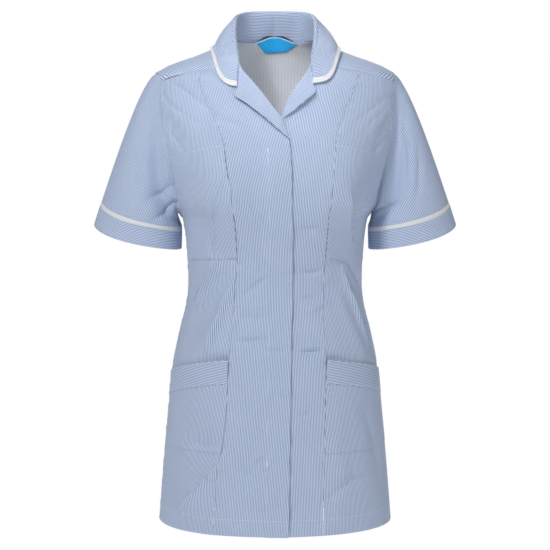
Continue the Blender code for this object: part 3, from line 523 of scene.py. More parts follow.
def side_place(side, row, t):
    _, princess, outer = np.moveaxis(row_heights(row), -1, 0)
    seam = PRINCESS[side](princess)
    side_seam = side * 90 + TURN
    edge = np.where(row <= UNDERARM, side_seam, side * armhole(outer)[..., 0] + TURN)
    return blend(seam, edge, t), blend(princess, outer, t**SIDE_DIP)


def side_panel(side, rows, columns):
    row, t = np.meshgrid(rows, columns, indexing="ij")
    at_top = side_place(side, np.full_like(row, SHOULDER), t)
    seam = shoulder_seam(side, blend(PRINCESS_SHARE, 0.0, t))
    return skin(*to_shoulder(row, side_place(side, row, t), at_top, seam))


print("the closure gapes in", len(GAPES), "places")

# %% [markdown]
# ## The back
#
# The back goes over the shoulders to seams that lie in front of them, so no single height
# describes its upper rows. Up to the shoulder blades its rows are heights. Above them they are
# followed as seen from above, from the back round to the neckline and the shoulder seams.

# %% Rows of the back
SHOULDER_START = -0.086
BACK_HEIGHTS = [row.side for row in ROWS[: UNDERARM + 1]]
BACK_HEIGHTS += [-0.256, -0.232, -0.205, -0.175, -0.145, -0.115, SHOULDER_START]
BACK_BEND = len(BACK_HEIGHTS) - 1
BACK_TOP = BACK_BEND + 5
BACK_BEND_POWER = 1.7
SHOULDER_BULGE = 0.006
NECKLINE = [(0.0, 0.0680), (0.0180, 0.0655), (0.0340, 0.0590), (0.0470, 0.0470),
            (0.0560, 0.0320), (0.0615, 0.0120), (0.0630, -0.0100), (0.0620, -0.0380)]
SEAM_COLUMNS = 4
NECK_COLUMNS = 7
BACK_MIDDLE = SEAM_COLUMNS + NECK_COLUMNS
BACK_COLUMNS = 2 * BACK_MIDDLE
back_heights = smooth(range(len(BACK_HEIGHTS)), BACK_HEIGHTS)


def top_of_back(side, column):
    """The top edge seen from above: the shoulder seam, then the neckline to its middle."""
    seam, _ = skin(*shoulder_seam(side, np.clip(column / SEAM_COLUMNS, 0, 1)))
    end, _ = skin(*shoulder_seam(side, np.array(1.0)))
    path = [(end[0], end[1])] + [(side * x, y) for x, y in reversed(NECKLINE)]
    neck = smooth(range(len(path)), path)((column - SEAM_COLUMNS) / NECK_COLUMNS * (len(path) - 1))
    return np.where((column <= SEAM_COLUMNS)[..., None], seam[..., :2], neck)


def back_panel(rows, columns):
    row, column = np.meshgrid(rows, columns, indexing="ij")
    share = column / BACK_COLUMNS
    height = back_heights(row)
    edge = np.where(height <= UP_TO_ARMHOLE, 90.0, armhole(height)[..., 1])
    angle = blend(360 - edge + TURN, edge + TURN, share)
    bent = np.clip((row - BACK_BEND) / (BACK_TOP - BACK_BEND), 0, 1) ** BACK_BEND_POWER
    start = form_point(angle, SHOULDER_START)
    right = column <= BACK_MIDDLE
    top = np.where(right[..., None], top_of_back(-1, column), top_of_back(1, BACK_COLUMNS - column))
    from_edge = np.minimum(column, BACK_COLUMNS - column)
    bulge = SHOULDER_BULGE * np.sin(np.pi * bent) * np.clip(1 - from_edge, 0, 1) ** 2
    across = blend(start[..., 0], top[..., 0], bent) + np.where(right, -bulge, bulge)
    depth = blend(start[..., 1], top[..., 1], bent)
    over_angle, over_height = place_above(across, depth, SHOULDER_START)
    over = row > BACK_BEND
    return skin(np.where(over, over_angle, angle), np.where(over, over_height, height))


print("the back has", BACK_TOP, "rows, bent over the shoulders from row", BACK_BEND)

# %% [markdown]
# ## From a shape to its flat cut
#
# Stripes show how cloth was cut: they are straight on the flat pattern piece, and every dart,
# seam and turned shoulder bends them on the body. So each panel is laid flat in the computer,
# the way a pattern maker would unpick and iron it. Every small triangle is turned to where its
# neighbours want it, then all corners are moved to the average, over and over.

# %% Laying a panel flat
FLAT_ROUNDS = 40


def lay_flat(points, straight_hem=False):
    """Flat places in metres of a grid of points. It starts from rows laid level or, for a sleeve,
    from columns hung from a straight hem."""
    rows, columns = points.shape[:2]
    index = np.arange(rows * columns).reshape(rows, columns)
    a, b, c, d = index[:-1, :-1], index[:-1, 1:], index[1:, 1:], index[1:, :-1]
    corners = np.concatenate([np.stack(x, -1).reshape(-1, 3) for x in ((a, b, c), (a, c, d))])
    place = points.reshape(-1, 3)
    first, second = (place[corners[:, k]] - place[corners[:, 0]] for k in (1, 2))
    along = unit(first)
    across = np.cross(unit(np.cross(first, second)), along)
    flat = np.stack([np.zeros(len(corners)), np.linalg.norm(first, axis=1),
                     (second * along).sum(1) + 1j * (second * across).sum(1)], axis=1)
    pull = np.zeros((len(place), len(place)))
    sides = ((0, 1), (1, 2), (2, 0))
    for i, j in sides:
        p, q = corners[:, i], corners[:, j]
        np.add.at(pull, (p, p), 1)
        np.add.at(pull, (q, q), 1)
        np.add.at(pull, (p, q), -1)
        np.add.at(pull, (q, p), -1)
    middle = columns // 2
    pull[index[rows // 2, middle], index[rows // 2, middle]] += 1
    settle = np.linalg.inv(pull)
    widths, _ = distances_in(points, 1)
    if straight_hem:
        upwards = -distances_in(points, 0)[1]
    else:
        upwards = lengths_along(points[:, middle])[:, None]
    guess = (widths - widths[:, middle, None] + 1j * upwards).reshape(-1)
    for _ in range(FLAT_ROUNDS):
        turn = sum((guess[corners[:, j]] - guess[corners[:, i]])
                   * np.conj(flat[:, j] - flat[:, i]) for i, j in sides)
        turn = turn / np.abs(turn)
        wanted = np.zeros(len(place), complex)
        for i, j in sides:
            step = turn * (flat[:, j] - flat[:, i])
            np.add.at(wanted, corners[:, j], step)
            np.add.at(wanted, corners[:, i], -step)
        guess = settle @ wanted
    return guess.reshape(rows, columns)

# %% Cutting along the grain
def with_grain(flat, grain):
    """Turns flat places so that the grain runs up, and gives them as pairs."""
    flat = flat * np.conj(grain / abs(grain)) * 1j
    return np.stack([flat.real, flat.imag], -1)


def finer(grid, coarse_rows, coarse_columns, rows, columns):
    """Reads a coarse grid at the places of a fine one."""
    by_row = smooth(coarse_rows, grid)(rows)
    return np.moveaxis(smooth(coarse_columns, np.moveaxis(by_row, 1, 0))(columns), 0, 1)


def cut(panel, coarse_rows, coarse_columns, rows, columns, grain_rows, grain_column):
    """Flat places for a fine grid. The grain runs up one column, between two rows."""
    flat = lay_flat(panel(coarse_rows, coarse_columns)[0])
    low, high = (int(np.argmin(abs(coarse_rows - row))) for row in grain_rows)
    middle = int(np.argmin(abs(coarse_columns - grain_column)))
    start = flat[low, middle]
    both = with_grain(flat - start, flat[high, middle] - start)
    return finer(both, coarse_rows, coarse_columns, rows, columns)


TEST_SQUARE = np.array([[[0, 0, 0], [0.1, 0, 0]], [[0, 0, 0.1], [0.1, 0, 0.1]]], float)
print("a 10 cm square laid flat:", np.round(lay_flat(TEST_SQUARE), 3).tolist())

# %% [markdown]
# ## Materials
#
# The cloth is a plain weave with a fine blue and white stripe. The stripe reads the flat cut
# that each piece carries, so it follows the grain on every panel. Shader maths is written as
# Python expressions: `Value` wraps a socket, and its signs add Math nodes.

# %% Shader maths as expressions
def sign(operation, reflected=False):
    """What one of Python's signs does to a socket: it adds a Math node."""
    def apply(self, other):
        values = (other, self) if reflected else (self, other)
        return self.finish.node("ShaderNodeMath", {"operation": operation},
                                dict(enumerate(values)))

    return apply


class Value:
    """An output socket that Python's own signs work on."""

    __add__ = __radd__ = sign("ADD")
    __mul__ = __rmul__ = sign("MULTIPLY")
    __sub__, __rsub__ = sign("SUBTRACT"), sign("SUBTRACT", reflected=True)
    __truediv__, __rtruediv__ = sign("DIVIDE"), sign("DIVIDE", reflected=True)

    def __init__(self, finish, socket):
        self.finish, self.socket = finish, socket

# %% A material under construction
CLOTH_GLOSS = 0.3


class Finish:
    """A material whose nodes are added by name."""

    def __init__(self, name, roughness, sheen=0.0):
        self.material = bpy.data.materials.new(name)
        self.material.use_nodes = True
        self.tree = self.material.node_tree
        self.surface = self.tree.nodes["Principled BSDF"]
        self.surface.inputs["Roughness"].default_value = roughness
        self.surface.inputs["Sheen Weight"].default_value = sheen
        self.surface.inputs["Specular IOR Level"].default_value = CLOTH_GLOSS

    def node(self, kind, settings, inputs, output=0):
        node = self.tree.nodes.new(kind)
        for name, value in settings.items():
            setattr(node, name, value)
        for key, value in inputs.items():
            self.join(node.inputs[key], value)
        return Value(self, node.outputs[output])

    def join(self, socket, value):
        if isinstance(value, Value):
            self.tree.links.new(value.socket, socket)
        else:
            socket.default_value = value

    def colours(self, factor, first, second):
        """Mixes two colours by a factor."""
        inputs = {0: factor, 6: first, 7: second}
        return self.node("ShaderNodeMix", {"data_type": "RGBA"}, inputs, 2)

    def step(self, value, low, high):
        """0 below a value, 1 above another, with a soft step between."""
        settings = {"interpolation_type": "SMOOTHSTEP"}
        return self.node("ShaderNodeMapRange", settings, {0: value, 1: low, 2: high})

    def cloth_place(self):
        """Metres across and along the grain, from the piece's flat cut."""
        place = self.node("ShaderNodeUVMap", {"uv_map": "cloth"}, {})
        separate = self.tree.nodes.new("ShaderNodeSeparateXYZ")
        self.tree.links.new(place.socket, separate.inputs[0])
        return place, Value(self, separate.outputs[0]), Value(self, separate.outputs[1])

    def grain_noise(self, place, across, along):
        """Noise stretched along the grain, for so many metres across and along."""
        scaled = self.node("ShaderNodeVectorMath", {"operation": "MULTIPLY"},
                           {0: place, 1: (1 / across, 1 / along, 1.0)})
        return self.node("ShaderNodeTexNoise", {}, {"Vector": scaled, "Scale": 1.0})

    def paint(self, colour):
        self.join(self.surface.inputs["Base Color"], colour)

    def bump(self, height, distance, strength):
        normal = self.node("ShaderNodeBump", {}, {"Height": height, "Distance": distance,
                                                  "Strength": strength})
        self.join(self.surface.inputs["Normal"], normal)


# %% The striped cloth, its wrong side, the white tape and the label
STRIPE_PITCH = 0.0024
STRIPE_SOFTNESS = 0.07
STRIPE_WANDER = 0.10
YARN = 0.00036
YARN_HEIGHT = 0.00012


def weave(finish, u, v, yarn):
    """Height of a plain weave: warp and weft yarns take turns on top."""
    across = finish.node("ShaderNodeMath", {"operation": "SINE"}, {0: u * (math.pi / yarn)})
    along = finish.node("ShaderNodeMath", {"operation": "SINE"}, {0: v * (math.pi / yarn)})
    return across * along


def striped_cloth(name, blue, white, share):
    finish = Finish(name, roughness=0.88, sheen=0.12)
    place, u, v = finish.cloth_place()
    wander = finish.grain_noise(place, 0.002, 0.020)
    turns = u / STRIPE_PITCH + wander * STRIPE_WANDER
    within = finish.node("ShaderNodeMath", {"operation": "PINGPONG"}, {0: turns, 1: 0.5})
    edge = (1 - share) / 2
    white_yarn = finish.step(within, edge - STRIPE_SOFTNESS, edge + STRIPE_SOFTNESS)
    yarns = finish.grain_noise(place, YARN, 0.006)
    tone = finish.grain_noise(place, 0.05, 0.09)
    colour = finish.colours(white_yarn, blue, white)
    shade = 0.90 + yarns * 0.12 + tone * 0.08
    shaded = finish.node("ShaderNodeVectorMath", {"operation": "SCALE"},
                         {0: colour, "Scale": shade})
    finish.paint(shaded)
    finish.bump(weave(finish, u, v, YARN) + yarns * 0.5, YARN_HEIGHT, 0.5)
    return finish.material


def plain_cloth(name, roughness, sheen, grain, first, second, yarn, *bump):
    finish = Finish(name, roughness, sheen)
    place, u, v = finish.cloth_place()
    colour = finish.colours(finish.grain_noise(place, *grain), first, second)
    finish.paint(colour)
    finish.bump(weave(finish, u, v, yarn), *bump)
    return finish.material


STRIPED = striped_cloth("striped_cloth", (0.195, 0.290, 0.520, 1), (0.640, 0.700, 0.800, 1), 0.48)
WRONG_SIDE = striped_cloth("striped_wrong_side", (0.560, 0.600, 0.680, 1),
                           (0.80, 0.82, 0.85, 1), 0.52)
WHITE = plain_cloth("white_tape", 0.8, 0.15, (0.004, 0.004), (0.68, 0.70, 0.73, 1),
                    (0.75, 0.76, 0.78, 1), 0.0005, 0.00015, 0.6)
LABEL_BLUE = plain_cloth("label_weave", 0.55, 0.1, (0.003, 0.0003), (0.012, 0.380, 0.860, 1),
                         (0.025, 0.500, 0.950, 1), 0.0003, 0.0001, 0.5)
print(len(STRIPED.node_tree.nodes), "nodes in the striped cloth")

# %% [markdown]
# ## From a grid to a piece of cloth
#
# Every piece is one grid of points with its flat cut. Solidify gives it a thin wall towards the
# inside, whose inner face takes the paler wrong side, and a small bevel rounds its cut edges.

# %% Making a piece
CLOTH_WALL = 0.0010
RIM_SHARE = 0.3
RIM_ANGLE = 50


def made_object(name, mesh, *materials):
    """An object at the origin from a mesh under construction."""
    data = bpy.data.meshes.new(name)
    mesh.to_mesh(data)
    mesh.free()
    for material in materials:
        data.materials.append(material)
    made = bpy.data.objects.new(name, data)
    scene.collection.objects.link(made)
    return made


def cloth(name, points, outward, flat, materials=(STRIPED, WRONG_SIDE), slot="stripe",
          held="hung", rests_on=(), wall=CLOTH_WALL, size=None, with_pieces=()):
    """A piece named after the plain node that it replaces."""
    rows, columns = points.shape[:2]
    mesh = bmesh.new()
    bmesh.ops.create_grid(mesh, x_segments=columns - 1, y_segments=rows - 1, size=0.5)
    piece = made_object(name, mesh, *materials)
    data = piece.data
    data.vertices.foreach_set("co", points.reshape(-1))
    corner_vertex = np.zeros(len(data.loops), np.int32)
    data.loops.foreach_get("vertex_index", corner_vertex)
    layer = data.uv_layers.new(name="cloth")
    layer.uv.foreach_set("vector", flat.reshape(-1, 2)[corner_vertex].reshape(-1))
    data.update()
    facing = np.zeros(len(data.vertices) * 3)
    data.vertices.foreach_get("normal", facing)
    if (facing.reshape(outward.shape) * outward).sum() < 0:
        data.flip_normals()
    data.shade_smooth()
    shell = piece.modifiers.new("wall", "SOLIDIFY")
    shell.thickness = wall
    shell.offset = -1
    shell.material_offset = len(materials) - 1
    rim = piece.modifiers.new("rim", "BEVEL")
    rim.width = wall * RIM_SHARE
    rim.segments = 2
    rim.limit_method = "ANGLE"
    rim.angle_limit = math.radians(RIM_ANGLE)
    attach(piece, "root")
    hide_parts(name.removeprefix("cloth_"))
    return piece


EDGE_DISTANCES = (0.0005, 0.0012, 0.0024, 0.0040, 0.0055, 0.0070)


def near_edges(count, width):
    """Shares across a panel: even ones, with more of them close to both edges."""
    close = [d / width for d in EDGE_DISTANCES]
    even = [k / count for k in range(count + 1) if not 0 < min(k, count - k) / count <= close[-1]]
    return np.array(sorted(set(even + close + [1 - c for c in close])))


# %% Points pulled back at a seam, and the dip that a seam makes
SEAM_GAP = 0.0003
SEAM_DIP = 0.0004
SEAM_DIP_WIDTH = 0.0013
ARMHOLE_DIP = 0.0012
TAPE_DIP = 0.0002
PUCKER = 0.00028
PUCKER_LENGTHS = (0.0075, 0.0110, 0.0170, 0.0290)
PUCKER_SLANT = 0.6
PUCKER_REACH = 0.0075


def puckers(distance, along, seed):
    """Small waves where the thread draws the cloth together, fading away from the seam."""
    chance = np.random.default_rng(seed)
    waves = 0.0
    for length in PUCKER_LENGTHS:
        turn, slant = chance.uniform(0, 2 * math.pi), chance.uniform(-PUCKER_SLANT, PUCKER_SLANT)
        waves = waves + np.sin(2 * math.pi * (along + slant * distance) / length + turn)
    return PUCKER * waves * np.exp(-((distance / PUCKER_REACH) ** 2))


def seam_edges(points, outward, gap=SEAM_GAP / 2, sides=(True, True), ends=(False, False),
               depth=SEAM_DIP, pucker_seed=None):
    """Half a seam gap at the chosen edges, a rounded dip towards them, and puckers."""
    points = points.copy()
    dip = np.zeros(points.shape[:2])
    waves = np.zeros(points.shape[:2])
    if pucker_seed is not None:
        along = distances_in(points, 0)[0]
        for k, distance in enumerate(distances_in(points, 1)):
            waves += puckers(distance, along, pucker_seed + k)
    for axis, chosen in ((1, sides), (0, ends)):
        for wanted, place, inner, distance in zip(chosen, (0, -1), (1, -2),
                                                  distances_in(points, axis)):
            if not wanted:
                continue
            dip = np.maximum(dip, np.exp(-distance / SEAM_DIP_WIDTH))
            edge, beside = (points.take(k, axis) for k in (place, inner))
            moved = edge + unit(beside - edge) * gap
            if axis == 1:
                points[:, place] = moved
            else:
                points[place] = moved
    return points + outward * (waves - dip * depth)[..., None]


# %% The fronts
ROW_STEPS = 12
NEAR_HEM = [0.02, 0.06]
FRONT_ROWS = np.linspace(0, SHOULDER, SHOULDER * ROW_STEPS + 1)
FRONT_ROWS = np.unique(np.concatenate([FRONT_ROWS, NEAR_HEM]))
COARSE_ROWS = np.arange(SHOULDER + 1.0)
COARSE_COLUMNS = np.linspace(0, 1, 9)
FRONT_WIDTH, SIDE_WIDTH, BACK_WIDTH = 0.075, 0.170, 0.48
FRONT_GRAIN, SIDE_GRAIN, BACK_GRAIN = (1, 19), (1, 12), (1, 22)
front_columns = near_edges(34, FRONT_WIDTH)
side_columns = near_edges(64, SIDE_WIDTH)
SIDES = {"right": -1, "left": 1}
MOUTH_DIP = (0.0014, 0.0042)
MOUTH_DIP_SHIFT = 0.001
MOUTH_DIP_REACH = (0.0085, 0.034)
MOUTH_DIP_START = 0.002
panels = {}


def mouth_dip(points):
    """How far a side front falls in behind the mouth of its hip pocket, most at the seam."""
    up, _ = distances_in(points, 0)
    across, _ = distances_in(points, 1)
    mouth = up[np.argmin(abs(FRONT_ROWS - HIP_POCKET_ROWS[1]))]
    from_mouth = (up - mouth - MOUTH_DIP_SHIFT) / MOUTH_DIP_REACH[0]
    corner = np.exp(-((across / MOUTH_DIP_REACH[1]) ** 2))
    corner = corner * (1 - np.exp(-across / MOUTH_DIP_START))
    return blend(*MOUTH_DIP, corner) * np.exp(-from_mouth * from_mouth)


def cut_front(panel, side, columns, grain_rows, grain_column, sides, seed):
    """A panel of one side with its directions and flat places, drawn in at its seams."""
    flat = cut(lambda *grid: panel(side, *grid), COARSE_ROWS, COARSE_COLUMNS, FRONT_ROWS,
               columns, grain_rows, grain_column)
    points, outward = panel(side, FRONT_ROWS, columns)
    points = seam_edges(points, outward, sides=sides, ends=(False, True), pucker_seed=seed + side)
    return points, outward, flat


for name, side in SIDES.items():
    front = cut_front(front_panel, side, front_columns, FRONT_GRAIN, 0.0, (False, True), 20)
    cloth(f"cloth_front_{name}", *front)
    points, outward, flat = cut_front(side_panel, side, side_columns, SIDE_GRAIN, 0.5,
                                      (True, True), 30)
    panels["front", side], panels["side", side] = front, (points, outward, flat)
    cloth(f"cloth_side_front_{name}", points - outward * mouth_dip(points)[..., None],
          outward, flat)

# %% The back
BACK_ROWS = np.linspace(0, BACK_TOP, BACK_TOP * 7 + 1)
BACK_ROWS = np.unique(np.concatenate([BACK_ROWS, NEAR_HEM]))
BACK_ROWS = BACK_ROWS[(BACK_ROWS < BACK_BEND - 0.05) | (BACK_ROWS > BACK_BEND + 0.2)]
back_columns = near_edges(BACK_COLUMNS * 6, BACK_WIDTH) * BACK_COLUMNS
back_points, back_outward = back_panel(BACK_ROWS, back_columns)
back_flat = cut(back_panel, np.arange(BACK_TOP + 1.0), np.arange(BACK_COLUMNS + 1.0), BACK_ROWS,
                back_columns, BACK_GRAIN, BACK_MIDDLE)
shaped_back = seam_edges(back_points, back_outward, pucker_seed=40)
cloth("cloth_back", shaped_back, back_outward, back_flat)

# %% [markdown]
# ## Pockets
#
# A patch pocket lies on its panel, so it is made from the panel's own points moved out by its
# thickness. Its side edges are caught in the seams, and there it comes down to the panel.

# %% Pockets and their bands
POCKET_WALL = 0.0004
LAYER_GAP = 0.0002
MOUTH_DEPTH = 0.022
MOUTH_CORNER = (0.010, 0.026)
HIP_GAPE = 0.0024
POCKET_INSET = 0.0006
ARMHOLE_INSET = 0.0025
SAME_ROW = 1e-9


def inset_columns(points, first, last):
    """Moves the end columns of a grid inwards along its rows."""
    points = points.copy()
    start, _ = distances_in(points, 1)
    span = start[:, -1]
    for i, line in enumerate(points):
        wanted = first + start[i] / span[i] * (span[i] - first - last)
        points[i] = np.stack([np.interp(wanted, start[i], line[:, k]) for k in range(3)], -1)
    return points


def laid_on(panel, rows, layers, gape, far_inset=POCKET_INSET):
    """A pocket's points: pressed to the panel at its foot, standing off at its mouth."""
    points, outward, flat = panel
    chosen = (FRONT_ROWS >= rows[0] - SAME_ROW) & (FRONT_ROWS <= rows[1] + SAME_ROW)
    points, outward, flat = points[chosen], outward[chosen], flat[chosen]
    across, _ = distances_in(points, 1)
    _, down = distances_in(points, 0)
    mouth = np.exp(-((down / MOUTH_DEPTH) ** 2))
    corner = np.exp(-(((across - MOUTH_CORNER[0]) / MOUTH_CORNER[1]) ** 2))
    lift = layers * (LAYER_GAP + POCKET_WALL) + gape * mouth * corner
    points = inset_columns(points + outward * lift[..., None], POCKET_INSET, far_inset)
    return points, outward, flat


for name, side in SIDES.items():
    panel = panels["side", side]
    breast = laid_on(panel, BREAST_POCKET_ROWS, 1, 0.0, ARMHOLE_INSET)
    hip = laid_on(panel, HIP_POCKET_ROWS, 1, HIP_GAPE)
    for part, pocket in (("breast_pocket", breast), ("hip_pocket", hip)):
        cloth(f"cloth_{part}_{name}", *pocket, held="laid", rests_on=f"cloth_side_front_{name}",
              wall=POCKET_WALL)
    points, outward, flat = laid_on(panel, HIP_BAND_ROWS, 2, HIP_GAPE)
    panels["breast_pocket", side], panels["band", side] = breast, (points, outward)
    cloth(f"cloth_hip_pocket_band_{name}", points, outward, flat[..., ::-1], held="laid",
          rests_on=f"cloth_hip_pocket_{name}", wall=POCKET_WALL)

# %% [markdown]
# ## Sleeves
#
# A set-in sleeve starts square to the armhole and turns downwards. Each line along it is a
# curve with four control points: the armhole, a point straight out from it, one above the hem,
# and the hem itself. The hem is a ring that is known from the photograph.

# %% Rings at the end of the sleeve
Ring = namedtuple("Ring", "outer inner depth")
SLEEVE_HEM = Ring((0.2724, -0.2512), (0.1466, -0.2915), 0.0572)
TRIM_HEM = Ring((0.2754, -0.2582), (0.1462, -0.2981), 0.0577)
CUFF_HEM = Ring((0.2850, -0.2882), (0.1470, -0.3265), 0.0602)
RING_CENTRE_Y = 0.003
RING_DROP = (0.0115, 0.0022)


def ring_point(ring, side, around):
    """Points of a sleeve ring: 0 degrees at its outer end, 90 in front, 180 by the body."""
    a = np.radians(around)
    ends = [(ring.outer[k] + ring.inner[k]) / 2 + (ring.outer[k] - ring.inner[k]) / 2 * np.cos(a)
            for k in (0, 1)]
    drop = RING_DROP[0] * np.sin(a) + RING_DROP[1] * np.sin(2 * a)
    return np.stack([side * ends[0], RING_CENTRE_Y - ring.depth * np.sin(a), ends[1] - drop], -1)


def softened(values, passes=6):
    """Averages each entry of a closed line with its neighbours."""
    for _ in range(passes):
        values = (np.roll(values, 1, axis=0) + 2 * values + np.roll(values, -1, axis=0)) / 4
    return values


def tube_normals(points, side):
    """Outward directions of a grid whose rows run round a tube and come back to their start."""
    ring = points[:, :-1]
    after, before = np.roll(ring, -1, axis=1), np.roll(ring, 1, axis=1)
    down = np.gradient(ring, axis=0)
    outward = unit(np.cross(before - after, down)) * side
    return np.concatenate([outward, outward[:, :1]], axis=1)


# %% A sleeve from its armhole
SLEEVE_UP_OUTER = np.array([-0.318, 0.0, 0.948])
SLEEVE_UP_INNER = np.array([-0.060, 0.0, 0.998])
SLEEVE_ROWS = 56
LOOP_STEPS = 8
SLEEVE_START = (0.008, 0.026)
SLEEVE_HANG = (0.42, 0.62)
UNDERARM_EASE = 0.007
UNDERARM_SHARE = 0.3
FREE_SPAN = (0.3, 0.7)
ROUND_PASSES = 100
FLAT_STEP = 4
SLEEVE_LENGTH = 0.21
SLEEVE_ARC = 0.0012
TROUGH_ANGLES = (50, 150)
TROUGH_SPREAD = 26
TROUGH_FADE = 1.2
TROUGH_DEPTH = 0.010
VALLEY_ANGLES = (40, 85, 130, 165)
VALLEY_DEPTH = 0.006
VALLEY_REACH = 0.014
SLEEVE_FOLDS = {
    -1: [Fold([(134, 0.0), (115, 0.124), (89, 0.180)], 0.0060, -0.0022),
         Fold([(153, 0.0), (130, 0.166), (104, 0.210)], 0.0065, -0.0025),
         Fold([(70, 0.095), (62, 0.134), (75, 0.190)], 0.0091, -0.0015)],
    1: [Fold([(45, 0.065), (62, 0.110), (92, 0.168)], 0.0055, -0.0018),
        Fold([(40, 0.130), (62, 0.162), (80, 0.187)], 0.0070, -0.0015),
        Fold([(150, 0.090), (118, 0.150), (95, 0.170)], 0.0060, -0.0022)],
}

# %% The armhole's loop and the curves out of it
def armhole_loop(side):
    """The armhole's points from the underarm up the front and down the back, and their facing."""
    up_front = np.linspace(UNDERARM, SHOULDER, (SHOULDER - UNDERARM) * LOOP_STEPS + 1)
    down_back = np.linspace(BACK_TOP, UNDERARM, (BACK_TOP - UNDERARM) * LOOP_STEPS + 1)[1:]
    down_back = down_back[(down_back < BACK_BEND - 0.2) | (down_back > BACK_BEND + 0.3)]
    front = [a[:, 0] for a in side_panel(side, up_front, np.array([1.0]))]
    column = np.array([BACK_COLUMNS if side > 0 else 0.0])
    back = [a[:, 0] for a in back_panel(down_back, column)]
    return [np.concatenate(pair) for pair in zip(front, back)]


def sleeve_rise(side, t, around):
    """Folds, the trough that runs down to the underarm, and the valley beside the armhole."""
    down = t * SLEEVE_LENGTH
    folds = fold_rise(SLEEVE_FOLDS[side], around, down, crisp, SLEEVE_ARC)
    trough = np.exp(-(((around - blend(*TROUGH_ANGLES, t)) / TROUGH_SPREAD) ** 2))
    trough = trough * np.sin(np.pi * t) ** TROUGH_FADE
    beside = down / VALLEY_REACH
    valley = beside * np.exp(1 - beside) * smooth_step(*VALLEY_ANGLES[:2], around)
    valley = valley * (1 - smooth_step(*VALLEY_ANGLES[2:], around))
    return folds - trough * TROUGH_DEPTH - valley * VALLEY_DEPTH


def sleeve(side):
    """Points, directions and degrees round the sleeve, from the armhole to the hem."""
    loop, facing = armhole_loop(side)
    lengths = lengths_along(loop)
    peak = int(loop[:, 2].argmax())
    around = np.where(lengths <= lengths[peak], 180 - 180 * lengths / lengths[peak],
                      -180 * (lengths - lengths[peak]) / (lengths[-1] - lengths[peak]))
    loop, facing, around = loop[:-1], facing[:-1], around[:-1]
    tangent = softened(unit(np.roll(loop, -1, axis=0) - np.roll(loop, 1, axis=0)))
    away = unit(softened(unit(np.cross(tangent, facing)) * side))
    top = ((1 + np.cos(np.radians(around))) / 2)[:, None]
    start = loop + away * SEAM_GAP
    end = ring_point(SLEEVE_HEM, side, around)
    reach = np.linalg.norm(end - start, axis=1)[:, None]
    up = blend(SLEEVE_UP_INNER, SLEEVE_UP_OUTER, top) * np.array([side, 1, 1])
    first = start + away * blend(*SLEEVE_START, top)
    first += facing * UNDERARM_EASE * (1 - smooth_step(0.0, UNDERARM_SHARE, top))
    second = end + up * reach * blend(*SLEEVE_HANG, top)
    t = np.linspace(0, 1, SLEEVE_ROWS + 1)[:, None, None]
    u = 1 - t
    points = start * u**3 + first * 3 * u * u * t + second * 3 * u * t * t + end * t**3
    once = softened(np.moveaxis(points, 1, 0), ROUND_PASSES)
    rounded = np.moveaxis(2 * once - softened(once, ROUND_PASSES), 0, 1)
    freely = smooth_step(0.0, FREE_SPAN[0], t) * (1 - smooth_step(FREE_SPAN[1], 1.0, t))
    points = blend(points, rounded, freely)
    points = np.concatenate([points, points[:, :1]], axis=1)
    outward = tube_normals(points, side)
    around = np.append(around, around[0])
    return points + outward * sleeve_rise(side, t[..., 0], around)[..., None], outward, around

# %% Bands, and both sleeves with their tapes and cuffs
def band(side, upper, lower, around, rows):
    """A straight band round the sleeve between two rings."""
    t = np.linspace(0, 1, rows + 1)[:, None, None]
    points = blend(ring_point(upper, side, around), ring_point(lower, side, around), t)
    return points, tube_normals(points, side)


def made_band(name, points, outward, ends, turned=True, **look):
    """A piece that is a straight strip when it lies flat, drawn in at the chosen ends."""
    lengths, _ = distances_in(points, 1)
    _, depths = distances_in(points, 0)
    flat = np.stack([np.broadcast_to(lengths[len(points) // 2], depths.shape), depths], -1)
    shaped = seam_edges(points, outward, sides=(False, False), ends=ends, depth=TAPE_DIP)
    return cloth(name, shaped, outward, flat[..., ::-1] if turned else flat,
                 size=(lengths[:, -1].max(), depths.max()), **look)


TAPE = {"turned": False, "materials": (WHITE,), "slot": "white", "held": None}
for name, side in SIDES.items():
    points, outward, around = sleeve(side)
    flat = lay_flat(points[::FLAT_STEP, ::FLAT_STEP], straight_hem=True)
    middle = flat.shape[1] // 2
    both = with_grain(flat, flat[0, middle] - flat[-1, middle])
    down, across = distances_in(points, 0)[0].mean(1), distances_in(points, 1)[0].mean(0)
    fine = finer(both, down[::FLAT_STEP], across[::FLAT_STEP], down, across)
    shaped = seam_edges(points, outward, gap=0.0, sides=(False, False), ends=(True, False),
                        depth=ARMHOLE_DIP)
    cloth(f"cloth_sleeve_{name}", shaped, outward, fine)
    tape = made_band(f"cloth_sleeve_trim_{name}", *band(side, SLEEVE_HEM, TRIM_HEM, around, 6),
                     (True, True), **TAPE)
    made_band(f"cloth_cuff_{name}", *band(side, TRIM_HEM, CUFF_HEM, around, 12), (True, False),
              with_pieces=[tape])

# %% [markdown]
# ## Collar
#
# The collar stands up from the neckline, turns over a fold and falls outwards. At each station
# along it the neck seam, the fold and the outer edge are known, and the profile between them is
# a straight stand, a small half circle and a bowed fall that keeps off the shoulders.

